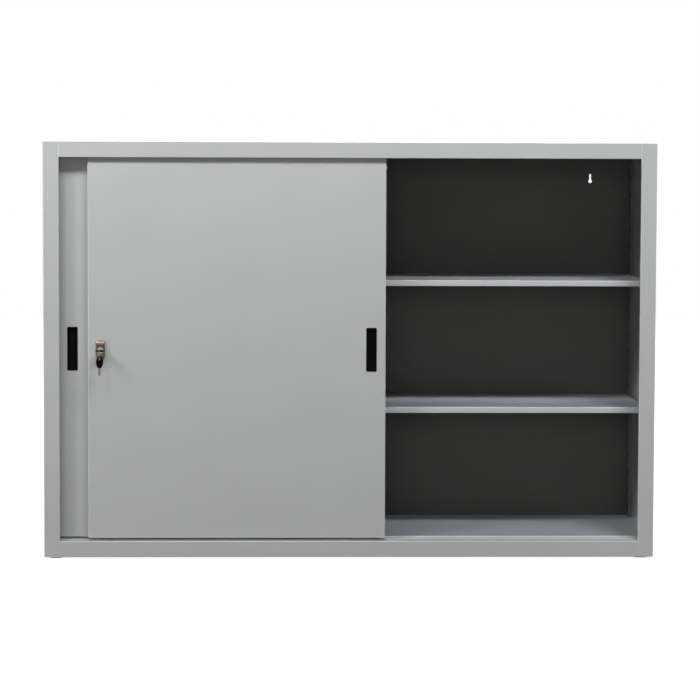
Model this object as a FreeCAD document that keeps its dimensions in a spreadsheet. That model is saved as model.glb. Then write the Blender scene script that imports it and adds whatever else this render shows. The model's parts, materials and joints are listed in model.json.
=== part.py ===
import FreeCAD, Part
import os
import re
import Sketcher
from math import atan2, pi

# Office cupboard in folded sheet steel with two sliding doors, in millimetres.
# X runs along the front, Y from the front to the back, Z up from the floor.
# Places are first measured from the plane of the front frame (y = 0); every sub-part is
# then set back by originShift, so that the origin lies under the middle of the whole.

doc = FreeCAD.newDocument("SlidingDoorCabinet")
sizes = doc.addObject("Spreadsheet::Sheet", "Sizes")
places = doc.addObject("Spreadsheet::Sheet", "Places")
Vector = FreeCAD.Vector

# ---------------------------------------------------------------- driving sizes
drivingSizes = [
    ("bodyWidth", 1500, "steel body, outside"),
    ("bodyDepth", 465, "steel body, outside"),
    ("bodyHeight", 1018.8, "steel body, outside"),
    ("footDrop", 3.7, "body's underside above the floor"),
    ("sheet", 0.9, "thickness of all sheet steel"),
    ("bend", 1.8, "outside radius of the visible folds"),
    ("flange", 38.8, "face width of the front frame's sides and head"),
    ("railFace", 39.5, "face of the front rail"),
    ("frameReturn", 9, "depth of the fold inside the front frame"),
    ("rearFlange", 18, "width of the folds at the back"),
    ("sideFold", 14, "fold of the top and the floor against the side panels"),
    ("railReturn", 12, "top fold of the front rail"),
    ("railFoot", 28, "bottom fold of the front and rear rails"),
    ("railLedge", 25, "ledge of the rear rail under the floor"),
    ("floorRise", 4, "floor above the front rail"),
    ("wellDepth", 8, "track well below the floor"),
    ("wellBack", 62, "rear wall of the track well behind the front"),
    ("keyholeRadius", 4.6, "wall-fixing hole"),
    ("keyholeSlot", 4.6, "width of the slot above the wall-fixing hole"),
    ("keyholeRise", 18.5, "length of that slot above the hole's centre"),
    ("keyholeInset", 111.8, "wall-fixing hole from the body's side"),
    ("keyholeDrop", 99.8, "wall-fixing hole below the body's top"),
    ("doorSetback", 13, "front door's face behind the front frame"),
    ("doorThickness", 15, "door"),
    ("doorPitch", 25, "from one door's face to the other's"),
    ("doorTuck", 5, "door's edge behind the front frame when closed"),
    ("doorOverlap", 25.8, "doors across each other when closed"),
    ("doorLift", 6.7, "door above the front rail"),
    ("doorHead", 18, "door behind the top of the front frame"),
    ("doorFold", 14, "fold round the back of a door"),
    ("doorBend", 2.4, "outside radius of a door's upright edges"),
    ("notchLength", 9, "relief notch in a door's upright edge"),
    ("notchDepth", 3, "relief notch, along X"),
    ("notchInset", 36, "relief notch from the door's corner"),
    ("frontDoorPark", 74.2, "front door from its left stop"),
    ("stiffenerWidth", 60, "door stiffener"),
    ("stiffenerLip", 12, "door stiffener's side lips"),
    ("rollerInset", 70, "roller from the door's upright edge"),
    ("rollerRadius", 10.5, "roller, over its flanges"),
    ("rollerTread", 7.5, "roller, at the bottom of its groove"),
    ("rollerWidth", 8, "roller"),
    ("grooveWidth", 4.4, "roller's groove at the tread"),
    ("grooveMouth", 6, "roller's groove at its mouth"),
    ("rollerHeight", 4.5, "roller's axle above the door's lower edge"),
    ("treadGap", 0.3, "between a roller's tread and its ridge"),
    ("axleRadius", 2, "roller axle"),
    ("axleFit", 0.05, "running clearance round the axle"),
    ("axleHead", 0.4, "head on a roller axle"),
    ("bracketLength", 30, "roller bracket"),
    ("bracketHeight", 24, "roller bracket"),
    ("bracketSheet", 1.5, "roller bracket's steel"),
    ("rollerPlay", 0.6, "between a roller and its bracket"),
    ("guideInset", 70, "top guide from the door's upright edge"),
    ("guideLength", 46, "top guide"),
    ("guideWidth", 9, "top guide"),
    ("guideHeight", 12, "top guide above the door"),
    ("guideStem", 9, "top guide's stem inside the door"),
    ("guideFit", 0.5, "between a guide and its channel"),
    ("railLeg", 16, "depth of the top track"),
    ("railSkin", 1.2, "wall of the top track"),
    ("trackSkin", 1.2, "web of the bottom track"),
    ("ridgeWidth", 2.4, "ridge of the bottom track"),
    ("stopHeight", 25, "rubber stop above the track well"),
    ("stopGap", 0.4, "between a stop and a closed door"),
    ("stopScrewRadius", 4, "head of the screw in a stop"),
    ("stopScrewRecess", 3, "depth of that screw's seat"),
    ("handleWidth", 26, "finger pull"),
    ("handleHeight", 107.6, "finger pull"),
    ("handleInset", 34.8, "finger pull's centre from the door's edge"),
    ("handleCentre", 464.6, "finger pull's centre above the door's lower edge"),
    ("handleProud", 1.2, "finger pull's rim in front of the door"),
    ("handleRim", 3, "width of the finger pull's rim"),
    ("handleCorner", 3, "radius of the finger pull's corners"),
    ("handleDepth", 11, "finger pull behind the door's face"),
    ("handleWall", 1.5, "finger pull's wall"),
    ("handleFit", 0.2, "between a finger pull and the door"),
    ("lockInset", 30.9, "lock's centre from the door's edge"),
    ("lockCentre", 465.8, "lock's centre above the door's lower edge"),
    ("lockWidth", 22, "lock housing"),
    ("lockHeight", 41, "lock housing"),
    ("lockProud", 9, "lock housing in front of the door"),
    ("lockNeckInset", 1.5, "neck of the housing inside its outline"),
    ("lockDepth", 14, "lock housing behind the door's face"),
    ("lockWall", 1.5, "rear wall of the lock housing"),
    ("lockRise", -2.6, "push button above the lock's centre"),
    ("lockClipMargin", 5, "spring clip round the housing's neck"),
    ("lockClipSheet", 1.2, "spring clip's steel"),
    ("buttonRadius", 8.5, "push button"),
    ("buttonProud", 9, "push button in front of the housing"),
    ("buttonLength", 20, "push button"),
    ("buttonTravel", 8, "stroke of the push button"),
    ("plungerRadius", 4, "plunger behind the push button"),
    ("slideFit", 0.08, "sliding clearance round the button and the plunger"),
    ("plugRadius", 6, "lock's turning plug"),
    ("plugFit", 0.05, "running clearance round the plug"),
    ("plugSkin", 1, "button's floor behind the plug"),
    ("bladeLength", 18, "key blade"),
    ("bladeWidth", 8, "key blade"),
    ("bladeThickness", 2, "key blade"),
    ("keyFit", 0.1, "between the blade and the keyway"),
    ("keyShoulder", 0.4, "between the key's bow and the plug"),
    ("bowLength", 30, "key bow"),
    ("bowWidth", 21, "key bow at its widest"),
    ("bowNeck", 9, "key bow at the blade and at its tip"),
    ("bowThickness", 2.9, "key bow"),
    ("bowWeb", 2.5, "key bow between its eye and its tip"),
    ("eyeLength", 7.4, "eye of the key bow, along the key"),
    ("eyeWidth", 9, "eye of the key bow, across the key"),
    ("ringRadius", 9, "key ring, to the middle of its wire"),
    ("ringWire", 0.7, "half the thickness of the key ring's flat wire"),
    ("ringPlay", 0.3, "between the key ring and a key bow"),
    ("spareTurn", 44, "spare key's turn about the upright, in degrees"),
    ("strikeWidth", 7, "interlock strip on the rear door's edge"),
    ("strikeDepth", 7.5, "interlock strip in front of the rear door"),
    ("strikeEdge", 1, "interlock strip inside the rear door's edge"),
    ("uprightWidth", 30, "slotted upright, along Y"),
    ("uprightDepth", 8, "slotted upright, from the side panel"),
    ("frontUprightSetback", 88, "front upright behind the front"),
    ("rearUprightInset", 12, "rear upright in front of the rear flange"),
    ("slotPitch", 45.1, "from slot to slot"),
    ("slotHeight", 14, "slot"),
    ("slotWidth", 9, "slot"),
    ("firstSlot", 20.1, "lowest slot above the floor"),
    ("lowerShelfSlotCount", 6, "number of slots up to the lower shelf's"),
    ("upperShelfSlotCount", 13, "number of slots up to the upper shelf's"),
    ("shelfSetback", 85, "shelf's front edge behind the front"),
    ("shelfRearGap", 5, "between a shelf and the back panel"),
    ("shelfEndGap", 1, "between a shelf and an upright"),
    ("shelfEdge", 14.5, "height of a shelf's edges"),
    ("shelfReturn", 14, "fold under a shelf's front edge"),
    ("ribWidth", 60, "shelf stiffener"),
    ("ribHeight", 12, "shelf stiffener"),
    ("ribLip", 12, "shelf stiffener's lips"),
    ("clipSheet", 1.4, "shelf clip's steel"),
    ("clipTongue", 11, "shelf clip's tongue under the shelf"),
    ("clipDrop", 18, "shelf clip below the shelf"),
    ("clipWidth", 12, "shelf clip, along Y"),
    ("clipFit", 0.2, "between a shelf clip and its slot"),
    ("padRadius", 21, "levelling foot's pad"),
    ("padEdge", 1, "bevel round the pad"),
    ("padGap", 0.4, "between the pad and the body"),
    ("footInset", 27, "foot's axis from the body's side"),
    ("footSetback", 35, "foot's axis from the front and the back"),
    ("studRadius", 4, "levelling foot's stud"),
    ("studLength", 34, "levelling foot's stud"),
    ("studSeat", 2, "stud's foot inside the pad"),
    ("studFit", 0.06, "between the stud and its thread"),
    ("plateSheet", 3, "foot bracket's steel"),
    ("plateWidth", 50, "foot bracket, along X and Y"),
    ("plateUpstand", 22, "foot bracket's upstand against the side panel"),
    ("nutRadius", 8, "hexagon nut welded on the foot bracket, over its corners"),
    ("nutHeight", 7, "welded nut on the foot bracket"),
]

# ---------------------------------------------------------------- derived places
derivedPlaces = [
    ("halfWidth", "bodyWidth / 2"),
    ("innerHalf", "bodyWidth / 2 - sheet"),
    ("openHalf", "bodyWidth / 2 - flange"),
    ("topZ", "footDrop + bodyHeight"),
    ("openTop", "topZ - flange"),
    ("railTop", "footDrop + railFace"),
    ("floorZ", "railTop + floorRise"),
    ("wellZ", "floorZ - wellDepth"),
    ("backFace", "bodyDepth - 2 * sheet"),
    ("closedHalf", "openHalf + doorTuck"),
    ("doorWidth", "closedHalf + doorOverlap / 2"),
    ("doorBottom", "railTop + doorLift"),
    ("doorTop", "openTop + doorHead"),
    ("doorHeight", "doorTop - doorBottom"),
    ("frontDoorX", "frontDoorPark - closedHalf"),
    ("rearDoorX", "-closedHalf"),
    ("rearSetback", "doorSetback + doorPitch"),
    ("frontLine", "doorSetback + doorThickness / 2"),
    ("rearLine", "frontLine + doorPitch"),
    ("ridgeTop", "doorBottom + rollerHeight - rollerTread - treadGap"),
    ("buttonFace", "-(lockProud + buttonProud)"),
    ("bowFace", "buttonFace - keyShoulder"),
    ("bowTip", "bowFace - bowLength"),
    ("ringDrop", "sqrt((ringRadius - ringWire - ringPlay)^2 - (bowWeb / 2)^2) - bowThickness / 2"),
    ("ringBottom", "-(ringDrop + ringRadius)"),
    ("spareChord", "(bowThickness / 2 + ringWire) / cos(spareTurn)"),
    ("spareRise", "ringRadius - sqrt(ringRadius^2 - spareChord^2)"),
    ("spareReach", "bowWidth / 2 * sin(spareTurn) + bowThickness / 2 * cos(spareTurn)"),
    ("frontReach", "max(ringRadius + ringWire; spareReach) - (doorSetback + bowTip + bowWeb / 2)"),
    ("originShift", "(frontReach - bodyDepth) / 2"),
    ("shelfHalf", "innerHalf - uprightDepth - shelfEndGap"),
    ("shelfDepth", "backFace - shelfRearGap - shelfSetback"),
    ("uprightHeight", "topZ - sideFold - floorZ"),
    ("slotCount", "floor((uprightHeight - 2 * firstSlot) / slotPitch) + 1"),
    ("clipHook", "slotHeight - 2 * clipFit"),
    ("lowerClipSlot", "floorZ + firstSlot + lowerShelfSlotCount * slotPitch"),
    ("lowerShelfZ", "lowerClipSlot + slotHeight - clipFit + shelfEdge"),
    ("upperShelfZ", "lowerShelfZ + (upperShelfSlotCount - lowerShelfSlotCount) * slotPitch"),
    ("rearUprightY", "backFace - rearUprightInset - uprightWidth"),
]

sheetOf = {}


def fillSheet(sheet, rows):
    """Alias, content and an optional note in columns A, B and C."""
    for line, (alias, content, *note) in enumerate(rows, start=1):
        sheetOf[alias] = sheet.Name
        sheet.set(f"A{line}", alias)
        sheet.set(f"B{line}", content)
        sheet.setAlias(f"B{line}", alias)
        if note:
            sheet.set(f"C{line}", note[0])


def formula(text):
    """The same formula with each alias under its sheet's name."""
    def qualify(match):
        word = match.group()
        return f"{sheetOf[word]}.{word}" if word in sheetOf else word
    return re.sub(r"[A-Za-z_]\w*", qualify, str(text))


def amount(text):
    return float(places.evalExpression(formula(text)))


fillSheet(sizes, [(alias, str(number), note) for alias, number, note in drivingSizes])
for alias, _ in derivedPlaces:
    sheetOf[alias] = "Places"
fillSheet(places, [(alias, "=" + formula(text)) for alias, text in derivedPlaces])
doc.recompute()

# ---------------------------------------------------------------- drawing helpers
subParts = []
alongX, alongY, alongZ = Vector(1, 0, 0), Vector(0, 1, 0), Vector(0, 0, 1)
tinyStep = 0.01
planeRoles = {"XY": "XY_Plane", "XZ": "XZ_Plane", "YZ": "YZ_Plane"}
turned = {
    "X": FreeCAD.Rotation(Vector(0, 1, 0), 90),
    "Y": FreeCAD.Rotation(Vector(1, 0, 0), -90),
    "Z": FreeCAD.Rotation(),
}


def place(item, x, y, z):
    """Binds the item's place."""
    for axis, text in (("x", x), ("y", y), ("z", z)):
        item.setExpression(f"Placement.Base.{axis}", formula(text))


def keep(item, label):
    """Makes the item a sub-part, set back to the origin under the middle."""
    item.Label = label
    subParts.append(item)
    return item


def newBody(name, x="0", y="0", z="0"):
    """A body that stands at (x, y, z) measured from the front plane."""
    body = doc.addObject("PartDesign::Body", name)
    place(body, x, f"originShift + {y}", z)
    return body


def newSketch(body, plane, level):
    """A sketch on one of the body's own planes, lifted to a level along its axis."""
    sketch = body.newObject("Sketcher::SketchObject", "Sketch")
    role = planeRoles[plane]
    support = next(item for item in body.Origin.OriginFeatures if item.Role == role)
    sketch.AttachmentSupport = [(support, "")]
    sketch.MapMode = "FlatFace"
    sense = "-1" if plane == "XZ" else "1"
    sketch.setExpression("AttachmentOffset.Base.z", formula(f"{sense} * ({level})"))
    return sketch


def hold(sketch, kind, geometry, point, text):
    """Holds one point of the sketch at a distance from its origin."""
    number = sketch.addConstraint(
        Sketcher.Constraint(kind, -1, 1, geometry, point, amount(text)))
    sketch.setExpression(f"Constraints[{number}]", formula(text))


def holdPoint(sketch, geometry, point, x, y):
    hold(sketch, "DistanceX", geometry, point, x)
    hold(sketch, "DistanceY", geometry, point, y)


def holdRadius(sketch, geometry, text):
    number = sketch.addConstraint(Sketcher.Constraint("Radius", geometry, amount(text)))
    sketch.setExpression(f"Constraints[{number}]", formula(text))


def drawCircle(sketch, x, y, radius):
    centre = Vector(amount(x), amount(y), 0)
    index = sketch.addGeometry(Part.Circle(centre, Vector(0, 0, 1), amount(radius)))
    holdPoint(sketch, index, 3, x, y)
    holdRadius(sketch, index, radius)


def drawOutline(sketch, corners):
    """A closed outline. A corner is (x, y), or (x, y, radius) between square edges."""
    count = len(corners)
    spots = [Vector(amount(c[0]), amount(c[1]), 0) for c in corners]

    def leave(n, toward):
        """The point where the outline leaves corner n towards a neighbour."""
        x, y, *radius = corners[n]
        if not radius:
            return x, y
        step = spots[toward] - spots[n]
        along = step / step.Length
        return (f"{x} + ({round(along.x)}) * ({radius[0]})",
                f"{y} + ({round(along.y)}) * ({radius[0]})")

    lines = []
    for n in range(count):
        after = (n + 1) % count
        start, end = leave(n, after), leave(after, n)
        line = sketch.addGeometry(Part.LineSegment(
            Vector(amount(start[0]), amount(start[1]), 0),
            Vector(amount(end[0]), amount(end[1]), 0)))
        lines.append((line, start, end))
    for n, corner in enumerate(corners):
        line, start, _ = lines[n]
        before, _, end = lines[n - 1]
        if len(corner) == 2:
            sketch.addConstraint(Sketcher.Constraint("Coincident", before, 2, line, 1))
            holdPoint(sketch, line, 1, *start)
            continue
        holdPoint(sketch, before, 2, *end)
        holdPoint(sketch, line, 1, *start)
        drawCornerArc(sketch, before, line, spots[n], amount(corner[2]))


def drawCornerArc(sketch, before, line, corner, radius):
    """The arc that joins two square lines at a rounded corner."""
    start = sketch.Geometry[before].EndPoint
    end = sketch.Geometry[line].StartPoint
    centre = start + end - corner
    angles = [atan2(point.y - centre.y, point.x - centre.x) for point in (start, end)]
    leftTurn = (end - start).cross(corner - start).z < 0
    low, high = angles if leftTurn else reversed(angles)
    if high < low:
        high += 2 * pi
    arc = sketch.addGeometry(Part.ArcOfCircle(Part.Circle(centre, alongZ, radius), low, high))
    entry, leaving = (1, 2) if leftTurn else (2, 1)
    sketch.addConstraint(Sketcher.Constraint("Coincident", before, 2, arc, entry))
    sketch.addConstraint(Sketcher.Constraint("Tangent", line, 1, arc, leaving))


def extrude(body, kind, plane, level, length, *outlines):
    """A Pad or Pocket from a level along the plane's axis. A three-text outline is a circle."""
    sketch = newSketch(body, plane, level)
    for outline in outlines:
        if isinstance(outline, tuple):
            drawCircle(sketch, *outline)
        else:
            drawOutline(sketch, outline)
    feature = body.newObject(f"PartDesign::{kind}", kind)
    feature.Profile = sketch
    feature.Reversed = (plane == "XZ") == (kind == "Pad")
    feature.setExpression("Length", formula(length))
    return feature


def pad(body, plane, level, length, *outlines):
    return extrude(body, "Pad", plane, level, length, *outlines)


def pocket(body, plane, level, length, *outlines):
    return extrude(body, "Pocket", plane, level, length, *outlines)


def revolve(body, sketch):
    """A full turn of the sketch about its own horizontal axis."""
    turn = body.newObject("PartDesign::Revolution", "Revolution")
    turn.Profile = sketch
    turn.ReferenceAxis = (sketch, ["H_Axis"])
    turn.Angle = 360


def rectangle(x0, y0, x1, y1, radius=None):
    corners = [(x0, y0), (x1, y0), (x1, y1), (x0, y1)]
    return [corner + (radius,) for corner in corners] if radius else corners


def roundEdges(body, kind, radius, wanted):
    """Fillets or chamfers the edges of the body's tip that the test picks."""
    doc.recompute()
    base = body.Tip
    names = [f"Edge{n}" for n, edge in enumerate(base.Shape.Edges, start=1) if wanted(edge)]
    feature = body.newObject(f"PartDesign::{kind}", kind)
    feature.Base = (base, names)
    feature.setExpression("Radius" if kind == "Fillet" else "Size", formula(radius))
    return feature


def runsAlong(edge, axis):
    """Whether a straight edge runs along the axis."""
    if edge.Curve.TypeId != "Part::GeomLine":
        return False
    across = edge.tangentAt(edge.FirstParameter).cross(axis)
    return across.Length < tinyStep


def atLevel(edge, axis, level):
    """Whether the whole edge lies at one level along the axis."""
    return all(abs(vertex.Point.dot(axis) - level) < tinyStep for vertex in edge.Vertexes)


def rod(name, radius, length, x, y, z, axis):
    """A round bar that starts at (x, y, z) and runs along an axis."""
    bar = doc.addObject("Part::Cylinder", name)
    bar.setExpression("Radius", formula(radius))
    bar.setExpression("Height", formula(length))
    bar.Placement = FreeCAD.Placement(Vector(), turned[axis])
    place(bar, x, y, z)
    return bar


def group(name, members, x="0", y="originShift", z="0"):
    """Identical separate pieces kept as one sub-part."""
    compound = doc.addObject("Part::Compound", name)
    compound.Links = members
    place(compound, x, y, z)
    return keep(compound, name)


# ---------------------------------------------------------------- steel body
def makeSidePanel(name, side):
    """Folded side: front flange with its return, square where it meets the head, and rear flange."""
    panel = keep(newBody(name), name)

    def at(x):
        return f"{side} * ({x})"

    pad(panel, "XY", "footDrop", "bodyHeight - sheet", [
        (at("openHalf"), "frameReturn"),
        (at("openHalf"), "0", "bend"),
        (at("halfWidth"), "0", "bend"),
        (at("halfWidth"), "bodyDepth", "bend"),
        (at("halfWidth - rearFlange"), "bodyDepth"),
        (at("halfWidth - rearFlange"), "bodyDepth - sheet"),
        (at("innerHalf"), "bodyDepth - sheet"),
        (at("innerHalf"), "sheet"),
        (at("openHalf + sheet"), "sheet"),
        (at("openHalf + sheet"), "frameReturn"),
    ])
    pad(panel, "XY", "openTop", "topZ - sheet - openTop",
        rectangle(at("openHalf"), "0", at("openHalf + bend"), "sheet"))


def makeTopPanel():
    """Top sheet with the head of the front frame, a rear flange and two side folds."""
    panel = keep(newBody("top_panel"), "top_panel")
    pad(panel, "XY", "topZ - sheet", "sheet",
        rectangle("-halfWidth", "0", "halfWidth", "bodyDepth", "bend"))
    roundEdges(panel, "Chamfer", "sheet * 0.7",
               lambda edge: atLevel(edge, alongZ, amount("topZ")))
    pad(panel, "YZ", "-openHalf", "2 * openHalf", [
        ("frameReturn", "openTop"),
        ("frameReturn", "openTop + sheet"),
        ("sheet", "openTop + sheet"),
        ("sheet", "topZ - sheet"),
        ("0", "topZ - sheet"),
        ("0", "openTop", "bend"),
    ])
    pad(panel, "YZ", "-(halfWidth - rearFlange)", "2 * (halfWidth - rearFlange)",
        rectangle("bodyDepth - sheet", "topZ - rearFlange", "bodyDepth", "topZ - sheet / 2"))
    for low in ("-innerHalf", "innerHalf - sheet"):
        pad(panel, "YZ", low, "sheet",
            rectangle("flange", "topZ - sideFold", "bodyDepth - rearFlange", "topZ - sheet / 2"))


def makeFloorPanel():
    """Floor with the well of the bottom track folded into its front."""
    panel = keep(newBody("floor_panel"), "floor_panel")
    pad(panel, "YZ", "-innerHalf", "2 * innerHalf", [
        ("railReturn", "railTop - sheet"),
        ("railReturn", "wellZ - sheet"),
        ("wellBack", "wellZ - sheet"),
        ("wellBack", "floorZ - sheet"),
        ("backFace", "floorZ - sheet"),
        ("backFace", "floorZ"),
        ("wellBack - sheet", "floorZ", "bend"),
        ("wellBack - sheet", "wellZ"),
        ("railReturn + sheet", "wellZ"),
        ("railReturn + sheet", "railTop - sheet"),
    ])
    for low in ("-innerHalf", "innerHalf - sheet"):
        pad(panel, "YZ", low, "sheet", rectangle(
            "wellBack + plateWidth", "floorZ - sideFold", "backFace - plateWidth", "floorZ - sheet / 2"))


def makeBackPanel():
    """Plain back sheet with two keyholes that hang the cupboard on wall screws."""
    panel = keep(newBody("back_panel"), "back_panel")
    pad(panel, "XZ", "backFace", "sheet",
        rectangle("-innerHalf", "floorZ - sheet", "innerHalf", "topZ - sheet"))
    for side in ("-1", "1"):
        x = f"{side} * (halfWidth - keyholeInset)"
        z = "topZ - keyholeDrop"
        pocket(panel, "XZ", "backFace", "sheet", (x, z, "keyholeRadius"))
        pocket(panel, "XZ", "backFace", "sheet", rectangle(
            f"{x} - keyholeSlot / 2", z, f"{x} + keyholeSlot / 2", f"{z} + keyholeRise"))


def makeFrontRail():
    """Foot of the front frame, between the side panels' flanges."""
    rail = keep(newBody("front_rail"), "front_rail")
    pad(rail, "YZ", "-openHalf", "2 * openHalf", [
        ("railFoot", "footDrop"),
        ("railFoot", "footDrop + sheet"),
        ("sheet", "footDrop + sheet"),
        ("sheet", "railTop - sheet"),
        ("railReturn + sheet", "railTop - sheet"),
        ("railReturn + sheet", "railTop"),
        ("0", "railTop", "bend"),
        ("0", "footDrop", "bend"),
    ])


def makeRearRail():
    """Rail under the back edge of the floor and of the back panel."""
    rail = keep(newBody("rear_rail"), "rear_rail")
    pad(rail, "YZ", "-(halfWidth - rearFlange)", "2 * (halfWidth - rearFlange)", [
        ("bodyDepth - railFoot", "footDrop"),
        ("bodyDepth", "footDrop", "bend"),
        ("bodyDepth", "floorZ - sheet"),
        ("bodyDepth - railLedge", "floorZ - sheet"),
        ("bodyDepth - railLedge", "floorZ - 2 * sheet"),
        ("bodyDepth - sheet", "floorZ - 2 * sheet"),
        ("bodyDepth - sheet", "footDrop + sheet"),
        ("bodyDepth - railFoot", "footDrop + sheet"),
    ])


def makeUpright(name, side, low):
    """Slotted channel on a side panel, open towards the panel."""
    upright = keep(newBody(name, "0", low, "floorZ"), name)

    def at(x):
        return f"{side} * ({x})"

    web = "innerHalf - uprightDepth"
    pad(upright, "XY", "0", "uprightHeight", [
        (at("innerHalf"), "0"),
        (at(web), "0"),
        (at(web), "uprightWidth"),
        (at("innerHalf"), "uprightWidth"),
        (at("innerHalf"), "uprightWidth - sheet"),
        (at(f"{web} + sheet"), "uprightWidth - sheet"),
        (at(f"{web} + sheet"), "sheet"),
        (at("innerHalf"), "sheet"),
    ])
    lowX = f"{web} - sheet" if side == "1" else f"-({web} + 2 * sheet)"
    slot = pocket(upright, "YZ", lowX, "3 * sheet", rectangle(
        "uprightWidth / 2 - slotWidth / 2", "firstSlot",
        "uprightWidth / 2 + slotWidth / 2", "firstSlot + slotHeight"))
    row = upright.newObject("PartDesign::LinearPattern", "LinearPattern")
    row.Originals = [slot]
    row.Direction = (next(o for o in upright.Origin.OriginFeatures if o.Role == "Z_Axis"), [""])
    row.setExpression("Length", formula("(slotCount - 1) * slotPitch"))
    row.setExpression("Occurrences", formula("slotCount"))
    upright.Tip = row


# ---------------------------------------------------------------- shelves
def makeShelf(name, level):
    """Shelf tray, open below, with a fold under its front edge."""
    shelf = keep(newBody(name, "0", "shelfSetback", f"{level} - shelfEdge"), name)
    pad(shelf, "XY", "0", "shelfEdge", [
        ("-shelfHalf", "0", "bend"),
        ("shelfHalf", "0", "bend"),
        ("shelfHalf", "shelfDepth"),
        ("-shelfHalf", "shelfDepth"),
    ])
    roundEdges(shelf, "Fillet", "bend", lambda edge: runsAlong(edge, alongX)
               and atLevel(edge, alongY, 0))
    pocket(shelf, "XY", "sheet", "shelfEdge - 2 * sheet", rectangle(
        "-(shelfHalf - sheet)", "sheet", "shelfHalf - sheet", "shelfDepth - sheet"))
    pocket(shelf, "XY", "0", "sheet", rectangle(
        "-(shelfHalf - sheet)", "shelfReturn", "shelfHalf - sheet", "shelfDepth - sheet"))


def makeShelfRib(name, level):
    """Hat-shaped stiffener under the middle of a shelf."""
    rib = keep(newBody(name, "0", "shelfSetback + shelfDepth / 2", f"{level} - sheet"), name)
    outer = "ribWidth / 2"
    pad(rib, "YZ", "-(shelfHalf - sheet)", "2 * (shelfHalf - sheet)", [
        (f"-({outer} + ribLip)", "0"),
        (f"-({outer} + ribLip)", "-sheet"),
        (f"-{outer}", "-sheet"),
        (f"-{outer}", "-ribHeight"),
        (outer, "-ribHeight"),
        (outer, "-sheet"),
        (f"{outer} + ribLip", "-sheet"),
        (f"{outer} + ribLip", "0"),
        (f"{outer} - sheet", "0"),
        (f"{outer} - sheet", "-(ribHeight - sheet)"),
        (f"-({outer} - sheet)", "-(ribHeight - sheet)"),
        (f"-({outer} - sheet)", "0"),
    ])


def makeShelfClips(name, level):
    """Four clips that hook into the uprights and carry the shelf's ends on their tongues."""
    clips = []
    web = "innerHalf - uprightDepth"
    for side in ("-1", "1"):
        for low in ("frontUprightSetback", "rearUprightY"):
            clip = doc.addObject("PartDesign::Body", "clip")
            place(clip, "0", f"{low} + uprightWidth / 2", f"{level} - shelfEdge")
            pad(clip, "XZ", "-clipWidth / 2", "clipWidth", [
                (f"{side} * ({web} - clipTongue)", "0"),
                (f"{side} * ({web})", "0"),
                (f"{side} * ({web})", "-clipDrop"),
                (f"{side} * ({web} - clipSheet)", "-clipDrop"),
                (f"{side} * ({web} - clipSheet)", "-clipSheet"),
                (f"{side} * ({web} - clipTongue)", "-clipSheet"),
            ])
            half = "(slotWidth / 2 - clipFit)"
            pad(clip, "XZ", f"-{half}", f"2 * {half}", rectangle(
                f"{side} * ({web} - clipSheet / 2)", "-clipHook",
                f"{side} * ({web} + uprightDepth / 2)", "0"))
            clips.append(clip)
    group(name, clips)


# ---------------------------------------------------------------- tracks
def makeTopTrack():
    """Comb with one channel for each door's guides, under the top panel."""
    track = keep(newBody("top_track"), "top_track")
    half = "(guideWidth / 2 + guideFit)"
    under = "topZ - sheet - railSkin"
    foot = "topZ - sheet - railLeg"
    corners = [
        (f"rearLine + {half} + railSkin", "topZ - sheet"),
        (f"frontLine - {half} - railSkin", "topZ - sheet"),
    ]
    for line in ("frontLine", "rearLine"):
        corners += [
            (f"{line} - {half} - railSkin", foot),
            (f"{line} - {half}", foot),
            (f"{line} - {half}", under),
            (f"{line} + {half}", under),
            (f"{line} + {half}", foot),
            (f"{line} + {half} + railSkin", foot),
        ]
        if line == "frontLine":
            corners += [
                (f"{line} + {half} + railSkin", under),
                (f"rearLine - {half} - railSkin", under),
            ]
    pad(track, "YZ", "-(innerHalf - 2 * sheet)", "2 * (innerHalf - 2 * sheet)", corners)


def makeBottomTrack():
    """Strip in the floor's well with a rounded ridge under each door's rollers."""
    track = keep(newBody("bottom_track"), "bottom_track")
    half = "ridgeWidth / 2"
    web = "wellZ + trackSkin"
    corners = [("wellBack - 2 * sheet", "wellZ"), ("railReturn + 2 * sheet", "wellZ"),
               ("railReturn + 2 * sheet", web)]
    for line in ("frontLine", "rearLine"):
        corners += [
            (f"{line} - {half}", web),
            (f"{line} - {half}", "ridgeTop", f"{half} * 0.8"),
            (f"{line} + {half}", "ridgeTop", f"{half} * 0.8"),
            (f"{line} + {half}", web),
        ]
    corners.append(("wellBack - 2 * sheet", web))
    pad(track, "YZ", "-closedHalf", "2 * closedHalf", corners)


def makeDoorStops():
    """Rubber blocks screwed into both ends of the well, where the doors come to rest."""
    stops = []
    screws = []
    length = "(innerHalf - closedHalf - stopGap)"
    middle = "(railReturn + wellBack) / 2"
    for side in ("-1", "1"):
        low = "-innerHalf" if side == "-1" else "closedHalf + stopGap"
        stop = doc.addObject("PartDesign::Body", "stop")
        place(stop, low, "0", "wellZ")
        pad(stop, "XY", "0", "stopHeight", rectangle(
            "0", "railReturn + 2 * sheet", length, "wellBack - 2 * sheet"))
        roundEdges(stop, "Chamfer", "padEdge", lambda edge: runsAlong(edge, alongY)
                   or runsAlong(edge, alongZ))
        pocket(stop, "XY", "stopHeight - stopScrewRecess", "stopScrewRecess + padEdge",
               (f"{length} / 2", middle, "stopScrewRadius + stopGap"))
        stops.append(stop)
        head = doc.addObject("PartDesign::Body", "head")
        place(head, f"{low} + {length} / 2", middle, "wellZ + stopHeight - stopScrewRecess")
        pad(head, "XY", "0", "stopScrewRecess - stopGap", ("0", "0", "stopScrewRadius"))
        pocket(head, "XY", "stopScrewRecess / 2", "stopScrewRecess", rectangle(
            "-stopScrewRadius / 5", "-stopScrewRadius * 0.7",
            "stopScrewRadius / 5", "stopScrewRadius * 0.7"))
        screws.append(head)
    group("door_stops", stops)
    group("door_stop_screws", screws)


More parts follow.
